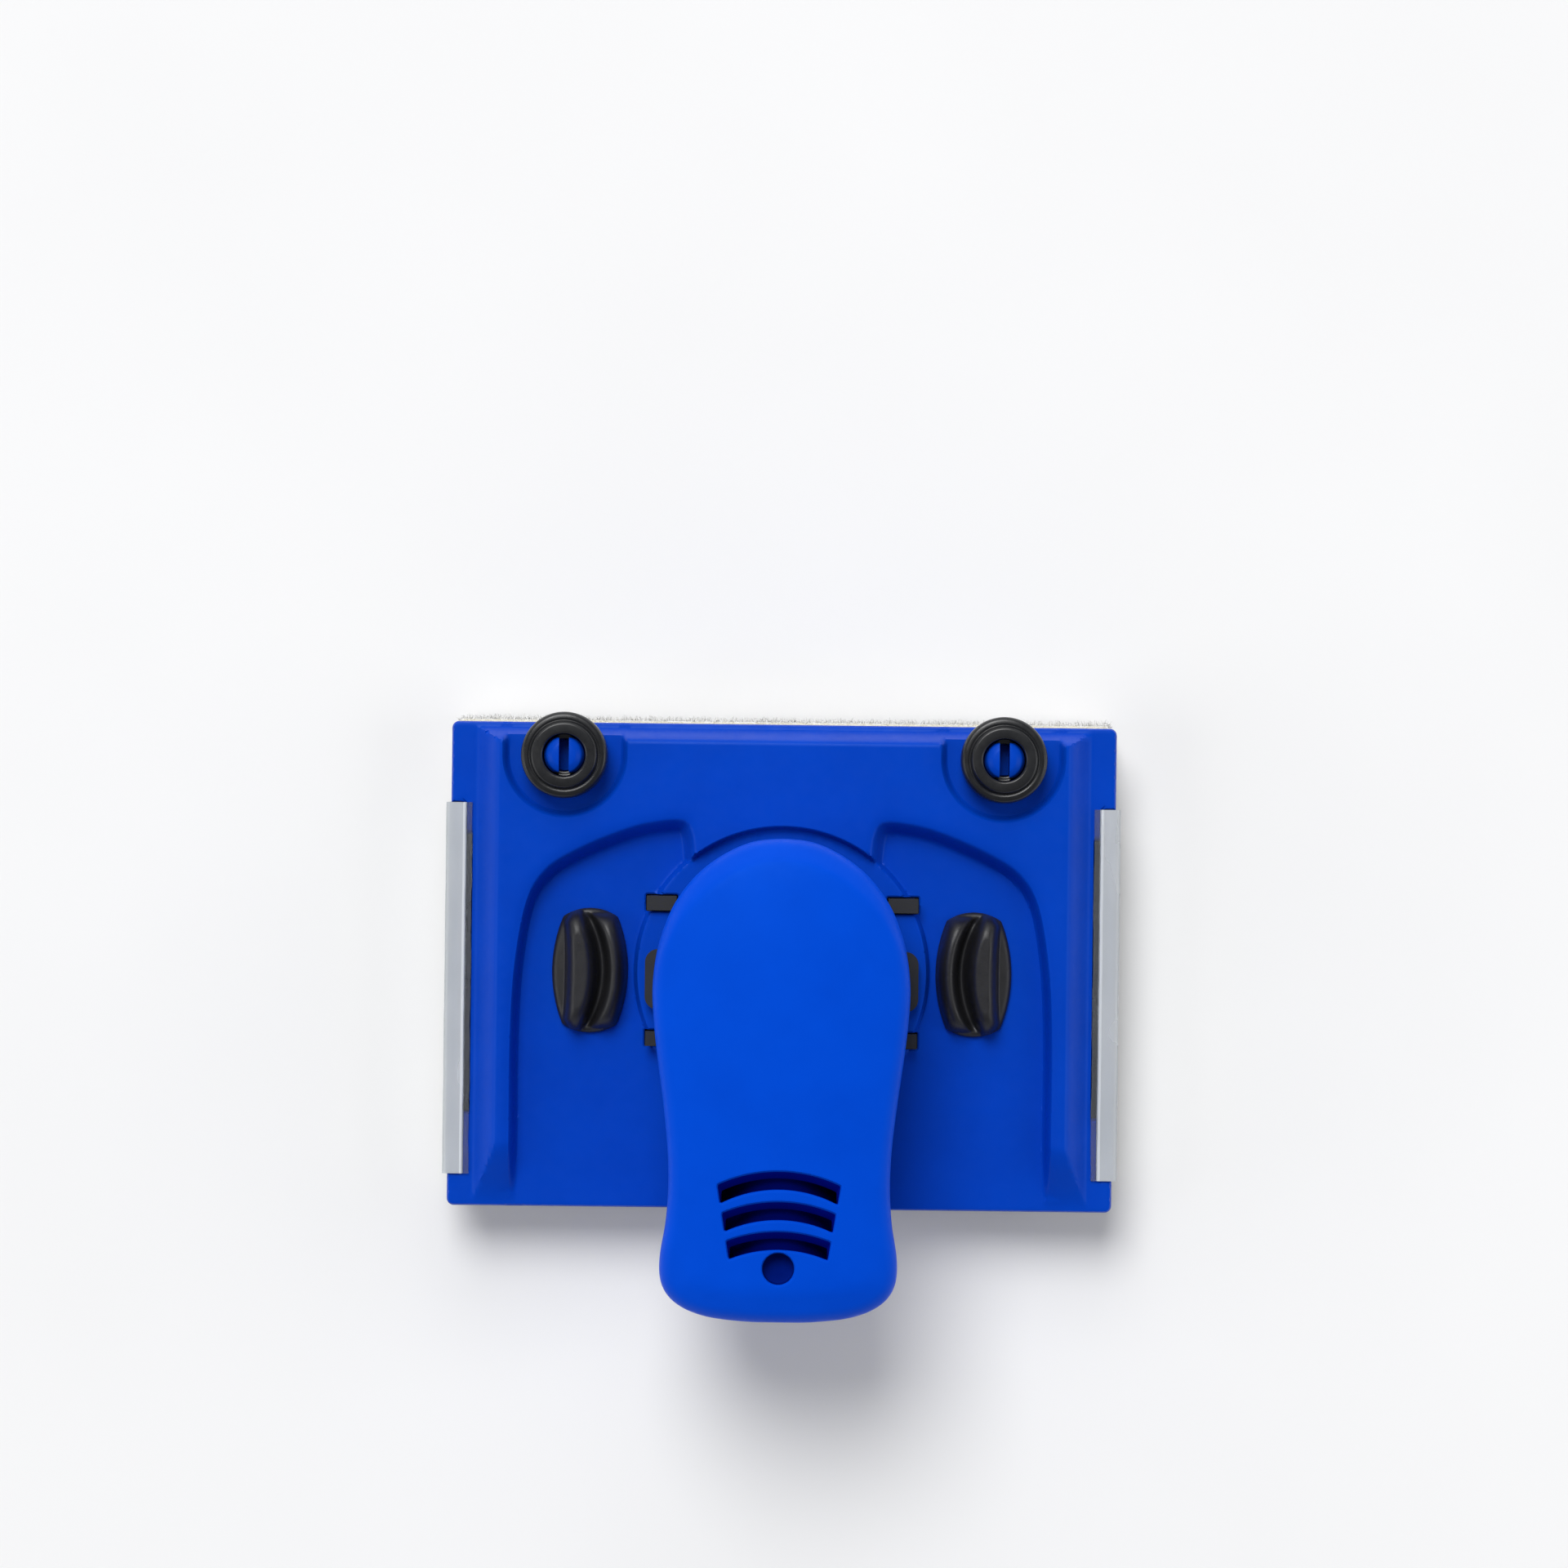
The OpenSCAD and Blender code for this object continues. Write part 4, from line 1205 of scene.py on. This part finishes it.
def make_bottom_shell():
    """Lower handle shell with a rounded bottom edge, the boss and spindle for the turret and the saddle for the socket."""
    base = boot_loop(0.0, 0.75)
    nrm = loop_normals(base)

    def ring(m, inset, z):
        s = m.add(np.c_[base - nrm * inset, np.full(len(base), z)])
        return list(range(s, s + len(base)))

    m = Mesh()
    rows = [ring(m, 4.6, UNDER), ring(m, 3.2, UNDER), ring(m, 2.4, UNDER + 0.05), ring(m, 1.75, UNDER + 0.25), ring(m, 1.25, UNDER + 0.6),
            ring(m, 0.95, UNDER + 1.05), ring(m, 0.82, UNDER + 1.6), ring(m, 0.8, UNDER + 2.2), ring(m, 0.8, 30.0), ring(m, 0.8, SPLIT - 0.15),
            ring(m, 0.95, SPLIT), ring(m, 2.9, SPLIT), ring(m, 3.0, SPLIT - 0.1), ring(m, 3.0, 29.0), ring(m, 3.1, UNDER + 2.6), ring(m, 3.6, UNDER + 2.2), ring(m, 4.6, UNDER + 2.2)]
    for a, b in zip(rows, rows[1:]):
        m.strip(a, b)
    for r, z, up in ((rows[0], UNDER, False), (rows[-1], UNDER + 2.2, True)):
        loop = base - nrm * 4.6
        V, T, idx = triangulate(ccw(loop), [], np.zeros((0, 2)))
        pos = {tuple(np.round(V[j], 5)): r[i] for i, j in enumerate(idx[0])}
        for t in T:
            f = [r[idx[0].index(k)] for k in t]
            m.face(f if up else f[::-1])
    o = m.obj("handle_bottom", 32)
    boss = lathe("boss", rounded([(0, UNDER + 1), (7.2, UNDER + 1), (6.2, UNDER + 3.4), (6.0, 34.0), (0, 34.0)], 0.5), 96, (PX, PY, 0))
    boolean(o, boss, "UNION")
    pin = lathe("pin", rounded([(0, 18.75), (5.6, 18.75), (5.95, 19.1), (5.95, UNDER + 1), (0, UNDER + 1)], 0.1), 96, (PX, PY, 0))
    boolean(o, pin, "UNION")
    boolean(o, make_collar(ccw(resample(base - nrm * 0.82, 0.75))), "UNION")
    cut = lathe("cut", [(0, -70), (11.6, -70), (11.6, -64.9), (10.9, -64.3), (10.4, -63.6), (10.4, SOCK_Y0 - 0.1), (11.9, SOCK_Y0 - 0.1), (11.9, -29.5), (0, -29.5)], 128, (0, 0, 0), smooth=180)
    cut.data.transform(Matrix.Rotation(math.radians(-90), 4, "X"))
    cut.data.transform(Matrix.Translation(Vector((0, 0, SOCK_Z * MM))))
    boolean(o, cut)
    shade(o, 32)
    return o


done(make_bottom_shell(), "handle", M_BLUE, "blue_plastic", "handle_bottom_shell")
done(make_socket(), "handle", M_SOCKET_PAINTED_SHADE, "blue_plastic", "pole_socket")

# ------------------------------------------------- remaining CAD parts, kept
KEEP = {
    "pad_carrier": (M_BLACK, "black_plastic", 0.25),
    "swivel_base": (M_BLACK, "black_plastic", 0.35),
    "base_screws": (M_STEEL, "plated_steel", 0.0),
    "bearing_washer": (M_POM, "bearing_plastic", 0.1),
    "shell_screws": (M_STEEL, "plated_steel", 0.0),
    "wave_washer": (M_STEEL, "plated_steel", 0.05),
    "retaining_washer": (M_STEEL, "plated_steel", 0.15),
    "swivel_screw": (M_STEEL, "plated_steel", 0.0),
    "pad_backing": (M_BACK, "white_plastic", 0.25),
}
for node, (mat, sl, bev) in KEEP.items():
    o = NODES[node]
    o.data.materials.clear()
    o.data.materials.append(mat)
    o.data.polygons.foreach_set("material_index", [0] * len(o.data.polygons))
    if bev:
        w = o.modifiers.new("weld", "WELD")
        w.merge_threshold = 1e-6
        b = o.modifiers.new("edge", "BEVEL")
        b.width, b.segments, b.limit_method, b.angle_limit = bev * MM, 2, "ANGLE", math.radians(40)
        b.harden_normals = False

# ------------------------------------------------------------ stage, lights
scene = bpy.context.scene


def make_floor():
    me = bpy.data.meshes.new("floor")
    R = 3.0
    me.from_pydata([(-R, -R, -0.0006), (R, -R, -0.0006), (R, R, -0.0006), (-R, R, -0.0006)], [], [(0, 1, 2, 3)])
    o = bpy.data.objects.new("floor", me)
    scene.collection.objects.link(o)
    m, nt, b = new_mat("floor")
    n = noise(nt, 9, 3, 0.5)
    col = ramp(nt, n.outputs["Fac"], [(0.3, (0.92, 0.92, 0.92)), (0.7, (0.945, 0.945, 0.945))])
    nt.links.new(col.outputs[0], b.inputs["Base Color"])
    b.inputs["Roughness"].default_value = 0.8
    me.materials.append(m)
    return o


floor = make_floor()


def area(name, loc, target, size, power, color=(1, 1, 1)):
    li = bpy.data.lights.new(name, "AREA")
    li.shape = "RECTANGLE"
    li.size, li.size_y = size
    li.energy = power
    li.color = color
    o = bpy.data.objects.new(name, li)
    o.location = loc
    o.rotation_euler = (Vector(target) - Vector(loc)).to_track_quat("-Z", "Y").to_euler()
    scene.collection.objects.link(o)
    return o


sun = bpy.data.lights.new("key", "SUN")
sun.energy = 1.95
sun.angle = math.radians(32)
sun_o = bpy.data.objects.new("key", sun)
sun_o.rotation_euler = Vector((0.22, -0.66, -1.0)).to_track_quat("-Z", "Y").to_euler()
scene.collection.objects.link(sun_o)
area("nose", (-0.1, 0.95, 0.6), (0, 0.02, 0.03), (0.6, 0.4), 1.7)
area("fill_right", (0.95, -0.05, 0.65), (0, 0, 0.02), (0.5, 0.6), 1.9)
area("fill_left", (-0.95, -0.15, 0.65), (0, 0, 0.02), (0.5, 0.6), 1.9)

w = bpy.data.worlds.new("world")
scene.world = w
w.use_nodes = True
wn = w.node_tree
bg = wn.nodes.get("Background") or wn.nodes.new("ShaderNodeBackground")
wtc = wn.nodes.new("ShaderNodeTexCoord")
wsx = wn.nodes.new("ShaderNodeSeparateXYZ")
wn.links.new(wtc.outputs["Generated"], wsx.inputs[0])
wmr = wn.nodes.new("ShaderNodeMapRange")
wn.links.new(wsx.outputs[2], wmr.inputs["Value"])
for k, val in (("From Min", 0.02), ("From Max", 0.5), ("To Min", 0.86), ("To Max", 0.24)):
    wmr.inputs[k].default_value = val
wn.links.new(wmr.outputs[0], bg.inputs[1])
bg.inputs[0].default_value = (0.96, 0.97, 1.0, 1)
scene.view_settings.view_transform = "Standard"

cam_d = bpy.data.cameras.new("camera")
cam_d.sensor_width = 36
cam_d.lens = 120
cam = bpy.data.objects.new("camera", cam_d)
cam.location = (0.0, 0.035, 1.013)
cam.rotation_euler = (0, 0, math.radians(0.7))
scene.collection.objects.link(cam)
scene.camera = cam
